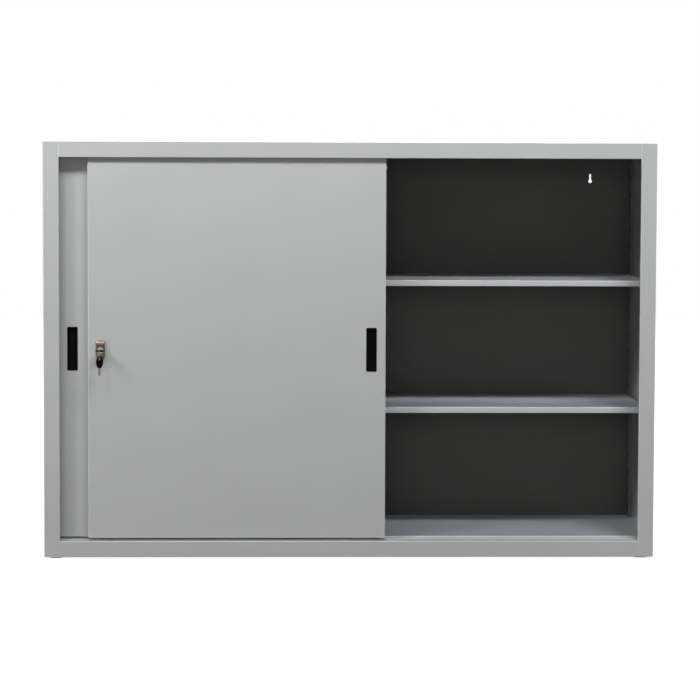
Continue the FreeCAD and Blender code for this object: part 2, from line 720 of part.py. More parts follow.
# ---------------------------------------------------------------- doors
def makeDoorPanel(name, corner, lock):
    """Door tray: front skin, edges folded back and a fold round the open rear."""
    panel = keep(newBody(name, *corner), name)
    pad(panel, "XY", "0", "doorHeight", [
        ("0", "0", "doorBend"),
        ("doorWidth", "0", "doorBend"),
        ("doorWidth", "doorThickness"),
        ("0", "doorThickness"),
    ])
    pocket(panel, "XZ", "sheet", "doorThickness - 2 * sheet", rectangle(
        "sheet", "sheet", "doorWidth - sheet", "doorHeight - sheet"))
    pocket(panel, "XZ", "doorThickness - sheet", "sheet", rectangle(
        "doorFold", "doorFold", "doorWidth - doorFold", "doorHeight - doorFold"))
    for side in ("left", "right"):
        x0 = "-notchDepth" if side == "left" else "doorWidth - notchDepth"
        for z0 in ("notchInset", "doorHeight - notchInset - notchLength"):
            pocket(panel, "XZ", "doorThickness / 2", "doorThickness", rectangle(
                x0, z0, f"{x0} + 2 * notchDepth", f"{z0} + notchLength"))
    handleX = "doorWidth - handleInset" if lock else "handleInset"
    halfX = "handleWidth / 2 - handleRim + handleFit"
    halfZ = "handleHeight / 2 - handleRim + handleFit"
    pocket(panel, "XZ", "0", "sheet", rectangle(
        f"{handleX} - ({halfX})", f"handleCentre - ({halfZ})",
        f"{handleX} + ({halfX})", f"handleCentre + ({halfZ})"))
    half = "(rollerWidth / 2 + rollerPlay)"
    reach = "(rollerRadius + 1)"
    for x in ("rollerInset", "doorWidth - rollerInset"):
        pocket(panel, "XY", "0", "sheet", rectangle(
            f"{x} - {reach}", f"doorThickness / 2 - {half}",
            f"{x} + {reach}", f"doorThickness / 2 + {half}"))
    for x in ("guideInset", "doorWidth - guideInset"):
        pocket(panel, "XY", "doorHeight - sheet", "sheet", rectangle(
            f"{x} - guideLength / 4 - handleFit", "doorThickness / 2 - guideWidth / 3 - handleFit",
            f"{x} + guideLength / 4 + handleFit", "doorThickness / 2 + guideWidth / 3 + handleFit"))
    if lock:
        neckX = "lockWidth / 2 - lockNeckInset + handleFit"
        neckZ = "lockHeight / 2 - lockNeckInset + handleFit"
        pocket(panel, "XZ", "0", "sheet", rectangle(
            f"lockInset - ({neckX})", f"lockCentre - ({neckZ})",
            f"lockInset + ({neckX})", f"lockCentre + ({neckZ})"))


def makeDoorStiffener(name, corner):
    """Upright hat section behind the middle of the door's skin."""
    stiffener = keep(newBody(name, *corner), name)
    middle = "doorWidth / 2"
    half = "stiffenerWidth / 2"
    depth = "doorThickness - 2 * sheet"
    pad(stiffener, "XY", "doorFold", "doorHeight - 2 * doorFold", [
        (f"{middle} - {half} - stiffenerLip", "sheet"),
        (f"{middle} - {half} + sheet", "sheet"),
        (f"{middle} - {half} + sheet", depth),
        (f"{middle} + {half} - sheet", depth),
        (f"{middle} + {half} - sheet", "sheet"),
        (f"{middle} + {half} + stiffenerLip", "sheet"),
        (f"{middle} + {half} + stiffenerLip", "2 * sheet"),
        (f"{middle} + {half}", "2 * sheet"),
        (f"{middle} + {half}", f"{depth} + sheet"),
        (f"{middle} - {half}", f"{depth} + sheet"),
        (f"{middle} - {half}", "2 * sheet"),
        (f"{middle} - {half} - stiffenerLip", "2 * sheet"),
    ])


def makeHandle(name, corner, x):
    """Moulded finger pull: a thin rim on the door and a cup through it."""
    handle = keep(newBody(name, *corner), name)

    def box(inset, radius=None):
        return rectangle(
            f"{x} - handleWidth / 2 + {inset}", f"handleCentre - handleHeight / 2 + {inset}",
            f"{x} + handleWidth / 2 - {inset}", f"handleCentre + handleHeight / 2 - {inset}",
            radius)

    pad(handle, "XZ", "-handleProud", "handleProud", box("0", "handleCorner"))
    roundEdges(handle, "Chamfer", "handleProud * 0.5",
               lambda edge: atLevel(edge, alongY, -amount("handleProud")))
    pad(handle, "XZ", "-handleProud / 2", "handleDepth + handleProud / 2",
        box("handleRim"))
    cup = "handleRim + handleWall"
    pocket(handle, "XZ", "-2 * handleProud", "2 * handleProud + handleDepth - handleWall",
           box(f"({cup})"))
    pad(handle, "XZ", "handleDepth * 0.6", "handleDepth * 0.3", rectangle(
        f"{x} - handleWall / 2", f"handleCentre - handleHeight / 2 + {cup}",
        f"{x} + handleWall / 2", f"handleCentre + handleHeight / 2 - ({cup})"))


def makeTopGuides(name, corner):
    """Nylon guides on the door's top edge, with stems through it."""
    guides = []
    for x in ("guideInset", "doorWidth - guideInset"):
        guide = doc.addObject("PartDesign::Body", "guide")
        place(guide, x, "doorThickness / 2", "doorHeight")
        pad(guide, "XY", "0", "guideHeight", rectangle(
            "-guideLength / 2", "-guideWidth / 2", "guideLength / 2", "guideWidth / 2"))
        roundEdges(guide, "Chamfer", "guideWidth / 4", lambda edge: runsAlong(edge, alongZ)
                   or runsAlong(edge, alongY) and atLevel(edge, alongZ, amount("guideHeight")))
        pad(guide, "XY", "-guideStem", "guideStem", rectangle(
            "-guideLength / 4", "-guideWidth / 3", "guideLength / 4", "guideWidth / 3"))
        guides.append(guide)
    group(name, guides, *shifted(corner))


def shifted(corner):
    """A door's corner with the set-back of the whole."""
    x, y, z = corner
    return x, f"originShift + {y}", z


def makeRollerBrackets(name, corner):
    """Two U brackets that stand on the door's lower fold and straddle the rollers."""
    brackets = []
    inner = "(rollerWidth / 2 + rollerPlay)"
    outer = f"({inner} + bracketSheet)"
    for x in ("rollerInset", "doorWidth - rollerInset"):
        bracket = doc.addObject("PartDesign::Body", "bracket")
        place(bracket, x, "doorThickness / 2", "sheet")
        pad(bracket, "YZ", "-bracketLength / 2", "bracketLength", [
            (f"-{outer}", "0"),
            (f"-{outer}", "bracketHeight"),
            (outer, "bracketHeight"),
            (outer, "0"),
            (inner, "0"),
            (inner, "bracketHeight - bracketSheet"),
            (f"-{inner}", "bracketHeight - bracketSheet"),
            (f"-{inner}", "0"),
        ])
        pocket(bracket, "XZ", f"-{outer} - sheet", f"2 * {outer} + 2 * sheet",
               ("0", "rollerHeight - sheet", "axleRadius + slideFit / 4"))
        brackets.append(bracket)
    group(name, brackets, *shifted(corner))


def makeAxles(name, corner):
    """Roller pins through both cheeks of their brackets, with a head on the rear side."""
    pins = []
    cheek = "(rollerWidth / 2 + rollerPlay + bracketSheet)"
    for x in ("rollerInset", "doorWidth - rollerInset"):
        pin = doc.addObject("PartDesign::Body", "pin")
        place(pin, x, "doorThickness / 2", "rollerHeight")
        pad(pin, "XZ", f"-{cheek}", f"2 * {cheek}", ("0", "0", "axleRadius"))
        pad(pin, "XZ", cheek, "axleHead", ("0", "0", "axleRadius * 1.5"))
        pins.append(pin)
    group(name, pins, *shifted(corner))


def makeRoller(name, corner, x):
    """Grooved nylon roller, turned about its axle."""
    cornerX, cornerY, cornerZ = corner
    roller = keep(newBody(name, f"{cornerX} + {x}", f"{cornerY} + doorThickness / 2",
                          f"{cornerZ} + rollerHeight"), name)
    sketch = newSketch(roller, "YZ", "0")
    bore = "axleRadius + axleFit"
    drawOutline(sketch, [
        ("-rollerWidth / 2", bore),
        ("rollerWidth / 2", bore),
        ("rollerWidth / 2", "rollerRadius"),
        ("grooveMouth / 2", "rollerRadius"),
        ("grooveWidth / 2", "rollerTread"),
        ("-grooveWidth / 2", "rollerTread"),
        ("-grooveMouth / 2", "rollerRadius"),
        ("-rollerWidth / 2", "rollerRadius"),
    ])
    revolve(roller, sketch)


def makeStrike(corner):
    """Channel on the rear door's free edge that the pushed-in plunger stands against."""
    strike = keep(newBody("interlock_strip", *corner), "interlock_strip")
    high = "doorWidth - strikeEdge"
    low = f"{high} - strikeWidth"
    pad(strike, "XY", "doorFold", "doorHeight - 2 * doorFold", [
        (low, "0"),
        (low, "-strikeDepth", "bend"),
        (high, "-strikeDepth", "bend"),
        (high, "0"),
        (f"{high} - sheet", "0"),
        (f"{high} - sheet", "-(strikeDepth - sheet)"),
        (f"{low} + sheet", "-(strikeDepth - sheet)"),
        (f"{low} + sheet", "0"),
    ])


def makeDoor(prefix, corner, lock):
    """One sliding door with its running gear."""
    makeDoorPanel(f"{prefix}_panel", corner, lock)
    makeDoorStiffener(f"{prefix}_stiffener", corner)
    makeHandle(f"{prefix}_handle", corner, "doorWidth - handleInset" if lock else "handleInset")
    makeTopGuides(f"{prefix}_top_guides", corner)
    makeRollerBrackets(f"{prefix}_roller_brackets", corner)
    makeAxles(f"{prefix}_roller_axles", corner)
    makeRoller(f"{prefix}_roller_left", corner, "rollerInset")
    makeRoller(f"{prefix}_roller_right", corner, "doorWidth - rollerInset")


# ---------------------------------------------------------------- lock and keys
def makeLockHousing(corner):
    """Housing through the door: a proud bezel, a neck and the button's bore."""
    housing = keep(newBody("lock_housing", *corner), "lock_housing")

    def box(inset, radius):
        return rectangle(
            f"lockInset - lockWidth / 2 + {inset}", f"lockCentre - lockHeight / 2 + {inset}",
            f"lockInset + lockWidth / 2 - {inset}", f"lockCentre + lockHeight / 2 - {inset}",
            radius)

    pad(housing, "XZ", "-lockProud", "lockProud", box("0", "lockNeckInset * 2"))
    roundEdges(housing, "Chamfer", "lockNeckInset",
               lambda edge: atLevel(edge, alongY, -amount("lockProud")))
    pad(housing, "XZ", "-lockProud / 2", "lockProud / 2 + lockDepth",
        box("lockNeckInset", "lockNeckInset"))
    buttonZ = "lockCentre + lockRise"
    pocket(housing, "XZ", "-2 * lockProud", "2 * lockProud + lockDepth - lockWall",
           ("lockInset", buttonZ, "buttonRadius + slideFit"))
    pocket(housing, "XZ", "0", "2 * lockDepth", ("lockInset", buttonZ, "plungerRadius + slideFit"))


def makeLockClip(corner):
    """Spring clip round the housing's neck, against the back of the door's skin."""
    clip = keep(newBody("lock_clip", *corner), "lock_clip")

    def box(inset):
        return rectangle(
            f"lockInset - lockWidth / 2 + {inset}", f"lockCentre - lockHeight / 2 + {inset}",
            f"lockInset + lockWidth / 2 - {inset}", f"lockCentre + lockHeight / 2 - {inset}")

    pad(clip, "XZ", "sheet", "lockClipSheet", box("-lockClipMargin"))
    pocket(clip, "XZ", "0", "4 * lockClipSheet", box("(lockNeckInset - handleFit / 2)"))


def makeLockBarrel(corner):
    """Push button with the plug's bore in front and the locking plunger behind."""
    barrel = keep(newBody("lock_barrel", *corner), "lock_barrel")
    z = "lockCentre + lockRise"
    pad(barrel, "XZ", "buttonFace", "buttonLength", ("lockInset", z, "buttonRadius"))
    roundEdges(barrel, "Chamfer", "keyShoulder",
               lambda edge: atLevel(edge, alongY, amount("buttonFace")))
    pad(barrel, "XZ", "buttonFace + buttonLength",
        "lockDepth - (buttonFace + buttonLength)", ("lockInset", z, "plungerRadius"))
    roundEdges(barrel, "Chamfer", "plungerRadius / 4",
               lambda edge: atLevel(edge, alongY, amount("lockDepth")))
    pocket(barrel, "XZ", "buttonFace - sheet", "buttonLength - plugSkin + sheet",
           ("lockInset", z, "plugRadius + plugFit"))


def makeLockPlug(corner):
    """Turning plug in the push button, with the keyway across it."""
    plug = keep(newBody("lock_plug", *corner), "lock_plug")
    z = "lockCentre + lockRise"
    length = "buttonLength - plugSkin - keyFit"
    pad(plug, "XZ", "buttonFace", length, ("lockInset", z, "plugRadius"))
    half = "bladeWidth / 2 + keyFit"
    slit = "bladeThickness / 2 + keyFit"
    pocket(plug, "XZ", "buttonFace - sheet", "sheet + bladeLength - keyShoulder + keyFit", rectangle(
        f"lockInset - ({half})", f"{z} - ({slit})", f"lockInset + ({half})", f"{z} + ({slit})"))


def makeKeyBow(name):
    """Moulded key head in the XY plane: shoulder at y = 0, tip at -bowLength."""
    bow = doc.addObject("PartDesign::Body", name)
    eye = "bowLength - bowWeb"
    pad(bow, "XY", "-bowThickness / 2", "bowThickness", [
        ("-bowNeck / 2", "0"),
        ("bowNeck / 2", "0"),
        ("bowWidth / 2", "-bowLength * 0.3"),
        ("bowWidth / 2", "-bowLength * 0.7"),
        ("bowNeck / 2", "-bowLength"),
        ("-bowNeck / 2", "-bowLength"),
        ("-bowWidth / 2", "-bowLength * 0.7"),
        ("-bowWidth / 2", "-bowLength * 0.3"),
    ])
    roundEdges(bow, "Fillet", "bowWidth / 8", lambda edge: runsAlong(edge, alongZ))
    pocket(bow, "XY", "-bowThickness", "2 * bowThickness", rectangle(
        "-eyeWidth / 2", f"-({eye})", "eyeWidth / 2", f"-({eye}) + eyeLength", "bowWeb / 2"))
    return bow


def makeKeyBlade(name):
    """Key blade in the XY plane, cut with bittings on one edge and pointed at its end."""
    blade = doc.addObject("PartDesign::Body", name)
    half = "bladeWidth / 2"
    corners = [(f"-{half}", "0"), (half, "0")]
    depths = (0.25, 0.4, 0.2, 0.35)
    for step, depth in enumerate(depths):
        low = f"bladeLength * {0.2 + 0.17 * step:.2f}"
        corners += [
            (half, low),
            (f"{half} - bladeWidth * {depth}", f"{low} + bladeWidth * 0.12"),
            (f"{half} - bladeWidth * {depth}", f"{low} + bladeWidth * 0.18"),
            (half, f"{low} + bladeWidth * 0.3"),
        ]
    corners += [(half, "bladeLength - bladeWidth * 0.25"), ("bladeWidth * 0.1", "bladeLength"),
                ("-bladeWidth * 0.1", "bladeLength"), (f"-{half}", "bladeLength - bladeWidth * 0.4")]
    pad(blade, "XY", "-bladeThickness / 2", "bladeThickness", corners)
    return blade


def makeKeyRing():
    """Ring of flat wire in the YZ plane, turned about X."""
    ring = doc.addObject("PartDesign::Body", "key_ring")
    sketch = newSketch(ring, "XZ", "0")
    drawOutline(sketch, rectangle(
        "-ringWire", "ringRadius - ringWire", "ringWire", "ringRadius + ringWire"))
    revolve(ring, sketch)
    return ring


def makeKeys(corner):
    """The key in the lock, the ring through its eye and the spare key hanging from the ring."""
    cornerX, cornerY, cornerZ = corner
    x = f"{cornerX} + lockInset"
    z = f"{cornerZ} + lockCentre + lockRise"
    bowY = f"originShift + {cornerY} + bowFace"
    webY = f"originShift + {cornerY} + bowTip + bowWeb / 2"
    for piece in (keep(makeKeyBow("key_bow"), "key_bow"),
                  keep(makeKeyBlade("key_blade"), "key_blade")):
        place(piece, x, bowY, z)
    ring = keep(makeKeyRing(), "key_ring")
    place(ring, x, webY, f"{z} - ringDrop")
    hang = f"{z} + ringBottom + ringWire + spareRise + ringPlay + bowWeb - bowLength"
    for piece in (keep(makeKeyBow("spare_key_bow"), "spare_key_bow"),
                  keep(makeKeyBlade("spare_key_blade"), "spare_key_blade")):
        upright = FreeCAD.Rotation(Vector(1, 0, 0), -90)
        turn = FreeCAD.Rotation(Vector(0, 0, 1), amount("spareTurn"))
        piece.Placement = FreeCAD.Placement(Vector(), turn * upright)
        place(piece, x, webY, hang)


# ---------------------------------------------------------------- levelling feet
def makeFootBrackets():
    """Corner plates with a welded nut for each levelling foot."""
    brackets = []
    for side in ("-1", "1"):
        for low in ("footSetback - plateWidth / 2", "bodyDepth - footSetback - plateWidth / 2"):
            bracket = doc.addObject("PartDesign::Body", "bracket")
            place(bracket, "0", low, "footDrop + sheet")
            x0 = f"{side} * (innerHalf - plateWidth)"
            x1 = f"{side} * innerHalf"
            foot = f"{side} * (halfWidth - footInset)"
            pad(bracket, "XZ", "0", "plateWidth", [
                (x0, "0"),
                (x0, "plateSheet"),
                (f"{side} * (innerHalf - plateSheet)", "plateSheet"),
                (f"{side} * (innerHalf - plateSheet)", "plateUpstand"),
                (x1, "plateUpstand"),
                (x1, "0"),
            ])
            pad(bracket, "XY", "plateSheet / 2", "plateSheet / 2 + nutHeight", [
                (f"{foot} + nutRadius * cos({turn})", f"plateWidth / 2 + nutRadius * sin({turn})")
                for turn in range(0, 360, 60)])
            pocket(bracket, "XY", "-plateSheet", "4 * plateSheet + nutHeight",
                   (foot, "plateWidth / 2", "studRadius + studFit"))
            brackets.append(bracket)
    group("foot_brackets", brackets)


def makeFoot(place1, side, y):
    """Levelling foot: a moulded pad with a threaded stud standing in it."""
    x = f"{side} * (halfWidth - footInset)"
    padName, studName = f"foot_pad_{place1}", f"foot_stud_{place1}"
    footPad = keep(newBody(padName, x, y, "0"), padName)
    pad(footPad, "XY", "0", "footDrop - padGap", ("0", "0", "padRadius"))
    roundEdges(footPad, "Chamfer", "padEdge",
               lambda edge: atLevel(edge, alongZ, amount("footDrop - padGap")))
    pocket(footPad, "XY", "footDrop - padGap - studSeat", "2 * studSeat", ("0", "0", "studRadius"))
    stud = rod(studName, "studRadius", "studLength", x, f"originShift + {y}",
               "footDrop - padGap - studSeat", "Z")
    keep(stud, studName)


# ---------------------------------------------------------------- the cupboard
frontCorner = ("frontDoorX", "doorSetback", "doorBottom")
rearCorner = ("rearDoorX", "rearSetback", "doorBottom")

makeSidePanel("side_panel_left", "-1")
makeSidePanel("side_panel_right", "1")
makeTopPanel()
makeFloorPanel()
makeBackPanel()
makeFrontRail()
makeRearRail()
for side, word in (("-1", "left"), ("1", "right")):
    makeUpright(f"front_upright_{word}", side, "frontUprightSetback")
    makeUpright(f"rear_upright_{word}", side, "rearUprightY")
for word in ("lower", "upper"):
    makeShelf(f"{word}_shelf", f"{word}ShelfZ")
    makeShelfRib(f"{word}_shelf_rib", f"{word}ShelfZ")
    makeShelfClips(f"{word}_shelf_clips", f"{word}ShelfZ")
makeTopTrack()
makeBottomTrack()
makeDoorStops()
makeDoor("front_door", frontCorner, True)
makeDoor("rear_door", rearCorner, False)
makeStrike(rearCorner)
makeLockHousing(frontCorner)
makeLockClip(frontCorner)
makeLockBarrel(frontCorner)
makeLockPlug(frontCorner)
makeKeys(frontCorner)
makeFootBrackets()
for side, word in (("-1", "left"), ("1", "right")):
    makeFoot(f"front_{word}", side, "footSetback")
    makeFoot(f"rear_{word}", side, "bodyDepth - footSetback")

# ---------------------------------------------------------------- build and write
doc.recompute()


def checkDocument():
    """Stops on a failed object, a cut that removes nothing or a bad sub-part."""
    for item in doc.Objects:
        if "Invalid" in item.State or "Error" in item.State:
            raise RuntimeError(f"{item.Name} failed: {item.State}")
        if item.TypeId == "PartDesign::Pocket":
            before = item.BaseFeature.Shape.Volume
            if item.Shape.Volume >= before - 1e-6:
                raise RuntimeError(f"{item.Name} cuts nothing")
    for part in subParts:
        if part.Shape.isNull() or not part.Shape.isValid():
            raise RuntimeError(f"{part.Label} has no valid shape")


checkDocument()
os.makedirs("parts", exist_ok=True)
for part in subParts:
    part.Shape.exportStep(os.path.join("parts", part.Label + ".step"))
    print(part.Label, len(part.Shape.Solids), "solid(s)", round(part.Shape.Volume), "mm3")
print(len(subParts), "sub-parts")
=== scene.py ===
import json
import math
import bpy
import numpy as np
from mathutils import Matrix, Vector


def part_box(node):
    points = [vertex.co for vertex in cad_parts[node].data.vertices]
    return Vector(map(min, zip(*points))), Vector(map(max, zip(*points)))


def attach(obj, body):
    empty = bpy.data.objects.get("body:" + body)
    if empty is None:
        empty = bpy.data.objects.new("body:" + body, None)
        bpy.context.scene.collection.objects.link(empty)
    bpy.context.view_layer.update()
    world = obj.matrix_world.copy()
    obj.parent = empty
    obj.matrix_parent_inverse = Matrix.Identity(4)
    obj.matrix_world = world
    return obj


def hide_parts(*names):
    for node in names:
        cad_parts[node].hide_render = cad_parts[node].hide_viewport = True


# Sheet-steel cupboard with two sliding doors, dressed and lit in a plain studio.
# Metres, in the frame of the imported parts: X along the front, Y to the back, Z up.

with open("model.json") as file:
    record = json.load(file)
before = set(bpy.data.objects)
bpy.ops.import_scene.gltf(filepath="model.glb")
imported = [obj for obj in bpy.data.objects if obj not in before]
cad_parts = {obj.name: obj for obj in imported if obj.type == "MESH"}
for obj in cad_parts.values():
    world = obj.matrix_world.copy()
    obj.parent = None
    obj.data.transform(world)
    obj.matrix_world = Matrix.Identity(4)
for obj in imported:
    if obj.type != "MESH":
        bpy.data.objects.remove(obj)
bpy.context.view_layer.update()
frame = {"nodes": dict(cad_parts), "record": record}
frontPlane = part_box("front_rail")[0].y      # face of the front frame
slotOfNode = {part["node"]: part["material_slot"] for part in frame["record"]["subparts"]}
print("frame loaded:", len(frame["nodes"]), "nodes")


def addNode(tree, kind, inputs=None, **settings):
    node = tree.nodes.new(kind)
    for name, value in settings.items():
        setattr(node, name, value)
    for name, value in (inputs or {}).items():
        if isinstance(value, bpy.types.NodeSocket):
            tree.links.new(value, node.inputs[name])
        else:
            node.inputs[name].default_value = value
    return node


def mathNode(tree, operation, first, second=0.0, clamp=False):
    node = addNode(tree, "ShaderNodeMath", {0: first, 1: second}, operation=operation)
    node.use_clamp = clamp
    return node.outputs[0]


def rangeNode(tree, value, low, high, newLow=0.0, newHigh=1.0):
    node = addNode(tree, "ShaderNodeMapRange", {
        "Value": value, "From Min": low, "From Max": high, "To Min": newLow, "To Max": newHigh})
    return node.outputs["Result"]


def mixNode(tree, factor, first, second):
    # a colour mix's own sockets are numbers 0, 6 and 7, and its result is number 2
    return addNode(tree, "ShaderNodeMix", {0: factor, 6: first, 7: second}, data_type="RGBA").outputs[2]


def noiseNode(tree, vector, scale, detail=2.0, roughness=0.5):
    node = addNode(tree, "ShaderNodeTexNoise", {
        "Vector": vector, "Scale": scale, "Detail": detail, "Roughness": roughness})
    return node.outputs["Fac"]


def bumpNode(tree, height, strength, distance, normal=None):
    inputs = {"Height": height, "Strength": strength, "Distance": distance}
    if normal is not None:
        inputs["Normal"] = normal
    return addNode(tree, "ShaderNodeBump", inputs).outputs["Normal"]


def newGroup(name, inputs, outputs):
    # inputs: (label, kind, value), outputs: (label, kind); a kind is Float, Color or Vector
    group = bpy.data.node_groups.new(name, "ShaderNodeTree")
    for label, kind, value in inputs:
        socket = group.interface.new_socket(label, in_out="INPUT", socket_type=f"NodeSocket{kind}")
        if value is not None:
            socket.default_value = value
    for label, kind in outputs:
        group.interface.new_socket(label, in_out="OUTPUT", socket_type=f"NodeSocket{kind}")
    entry = group.nodes.new("NodeGroupInput").outputs
    leaving = group.nodes.new("NodeGroupOutput").inputs
    return group, entry, leaving


def newMaterial(name):
    material = bpy.data.materials.new(name)
    material.use_nodes = True
    tree = material.node_tree
    tree.nodes.clear()
    shader = addNode(tree, "ShaderNodeBsdfPrincipled")
    addNode(tree, "ShaderNodeOutputMaterial", {"Surface": shader.outputs["BSDF"]})
    spots = addNode(tree, "ShaderNodeTexCoord").outputs["Object"]
    return material, tree, shader, spots


def placeGroup(tree, group, inputs):
    return addNode(tree, "ShaderNodeGroup", inputs, node_tree=group).outputs


def normalAxes(tree):
    # the true normal, apart into X, Y and Z
    normal = addNode(tree, "ShaderNodeNewGeometry").outputs["Normal"]
    return addNode(tree, "ShaderNodeSeparateXYZ", {"Vector": normal}).outputs


def makePowderCoat():
    # orange peel over a slow waviness of the sheet, with a faint mottle in the colour
    tree, entry, leaving = newGroup("powder coat", [
        ("Vector", "Vector", None), ("Paint", "Color", (0.5, 0.5, 0.5, 1)),
        ("Shade", "Color", (0.4, 0.4, 0.4, 1)), ("Mottle", "Float", 0.5),
        ("Peel", "Float", 0.1), ("Gloss Spread", "Float", 0.05), ("Roughness", "Float", 0.4),
    ], [("Color", "Color"), ("Roughness", "Float"), ("Normal", "Vector")])
    grain = noiseNode(tree, entry["Vector"], 1100.0, 3.0, 0.6)
    cloud = noiseNode(tree, entry["Vector"], 5.5, 4.0, 0.55)
    speck = noiseNode(tree, entry["Vector"], 420.0, 1.0)
    drift = rangeNode(tree, cloud, 0.3, 0.7)
    pepper = rangeNode(tree, speck, 0.55, 0.8)
    share = mathNode(tree, "MULTIPLY", mathNode(tree, "ADD", drift, pepper), entry["Mottle"], True)
    tree.links.new(mixNode(tree, share, entry["Paint"], entry["Shade"]), leaving["Color"])
    spread = mathNode(tree, "MULTIPLY", drift, entry["Gloss Spread"])
    tree.links.new(mathNode(tree, "ADD", entry["Roughness"], spread), leaving["Roughness"])
    wave = bumpNode(tree, noiseNode(tree, entry["Vector"], 2.6, 1.0), 0.12, 0.004)
    tree.links.new(bumpNode(tree, grain, entry["Peel"], 0.0002, wave), leaving["Normal"])
    return tree


def makePlatedGrain():
    # fine lines drawn along one axis, with duller patches
    tree, entry, leaving = newGroup("plated grain", [
        ("Vector", "Vector", None), ("Metal", "Color", (0.6, 0.6, 0.6, 1)),
        ("Tarnish", "Color", (0.3, 0.3, 0.3, 1)), ("Tarnish Share", "Float", 0.3),
        ("Roughness", "Float", 0.3), ("Spread", "Float", 0.1), ("Lines", "Float", 0.1),
    ], [("Color", "Color"), ("Roughness", "Float"), ("Normal", "Vector")])
    stretched = addNode(tree, "ShaderNodeMapping", {
        "Vector": entry["Vector"], "Scale": (60.0, 60.0, 900.0)}).outputs["Vector"]
    lines = noiseNode(tree, stretched, 4.0, 2.0)
    cloud = rangeNode(tree, noiseNode(tree, entry["Vector"], 160.0, 4.0, 0.6), 0.35, 0.7)
    share = mathNode(tree, "MULTIPLY", cloud, entry["Tarnish Share"], True)
    tree.links.new(mixNode(tree, share, entry["Metal"], entry["Tarnish"]), leaving["Color"])
    spread = mathNode(tree, "MULTIPLY", cloud, entry["Spread"])
    tree.links.new(mathNode(tree, "ADD", entry["Roughness"], spread), leaving["Roughness"])
    tree.links.new(bumpNode(tree, lines, entry["Lines"], 0.0001), leaving["Normal"])
    return tree


def makeMouldedGrain():
    # spark-eroded mould texture with handling marks
    tree, entry, leaving = newGroup("moulded grain", [
        ("Vector", "Vector", None), ("Plastic", "Color", (0.05, 0.05, 0.05, 1)),
        ("Dust", "Color", (0.2, 0.2, 0.2, 1)), ("Dust Share", "Float", 0.1),
        ("Roughness", "Float", 0.5), ("Spread", "Float", 0.1), ("Grain", "Float", 0.2),
    ], [("Color", "Color"), ("Roughness", "Float"), ("Normal", "Vector")])
    pits = addNode(tree, "ShaderNodeTexVoronoi", {"Vector": entry["Vector"], "Scale": 1900.0})
    cloud = rangeNode(tree, noiseNode(tree, entry["Vector"], 90.0, 5.0, 0.6), 0.45, 0.8)
    share = mathNode(tree, "MULTIPLY", cloud, entry["Dust Share"], True)
    tree.links.new(mixNode(tree, share, entry["Plastic"], entry["Dust"]), leaving["Color"])
    spread = mathNode(tree, "MULTIPLY", cloud, entry["Spread"])
    tree.links.new(mathNode(tree, "ADD", entry["Roughness"], spread), leaving["Roughness"])
    tree.links.new(bumpNode(tree, pits.outputs["Distance"], entry["Grain"], 0.0001), leaving["Normal"])
    return tree


def makeEdgeHighlight():
    # lighter where a rounded normal leans from the true one, and where the true one lies between the
    # three axes: a painted highlight along edges and folds, standing in for the light their roundings catch
    tree, entry, leaving = newGroup("painted edge highlight", [
        ("Vector", "Vector", None), ("Color", "Color", (0.5, 0.5, 0.5, 1)),
        ("Edge", "Color", (0.7, 0.7, 0.7, 1)), ("Radius", "Float", 0.0012), ("Folds", "Float", 0.0),
        ("Share", "Float", 0.5),
    ], [("Color", "Color")])
    rounded = addNode(tree, "ShaderNodeBevel", {"Radius": entry["Radius"]}, samples=6).outputs[0]
    normal = addNode(tree, "ShaderNodeNewGeometry").outputs["Normal"]
    along = addNode(tree, "ShaderNodeVectorMath", {0: rounded, 1: normal},
                    operation="DOT_PRODUCT").outputs["Value"]
    axes = addNode(tree, "ShaderNodeSeparateXYZ", {"Vector": normal}).outputs
    widest = mathNode(tree, "MAXIMUM", mathNode(tree, "ABSOLUTE", axes["X"]),
                      mathNode(tree, "MAXIMUM", mathNode(tree, "ABSOLUTE", axes["Y"]),
                               mathNode(tree, "ABSOLUTE", axes["Z"])))
    folded = mathNode(tree, "MULTIPLY", rangeNode(tree, widest, 0.985, 0.85), entry["Folds"])
    lean = mathNode(tree, "MAXIMUM", rangeNode(tree, along, 0.995, 0.86), folded)
    patch = rangeNode(tree, noiseNode(tree, entry["Vector"], 24.0, 3.0), 0.35, 0.65, 0.55, 1.0)
    mask = mathNode(tree, "MULTIPLY", mathNode(tree, "MULTIPLY", lean, patch), entry["Share"], True)
    tree.links.new(mixNode(tree, mask, entry["Color"], entry["Edge"]), leaving["Color"])
    return tree


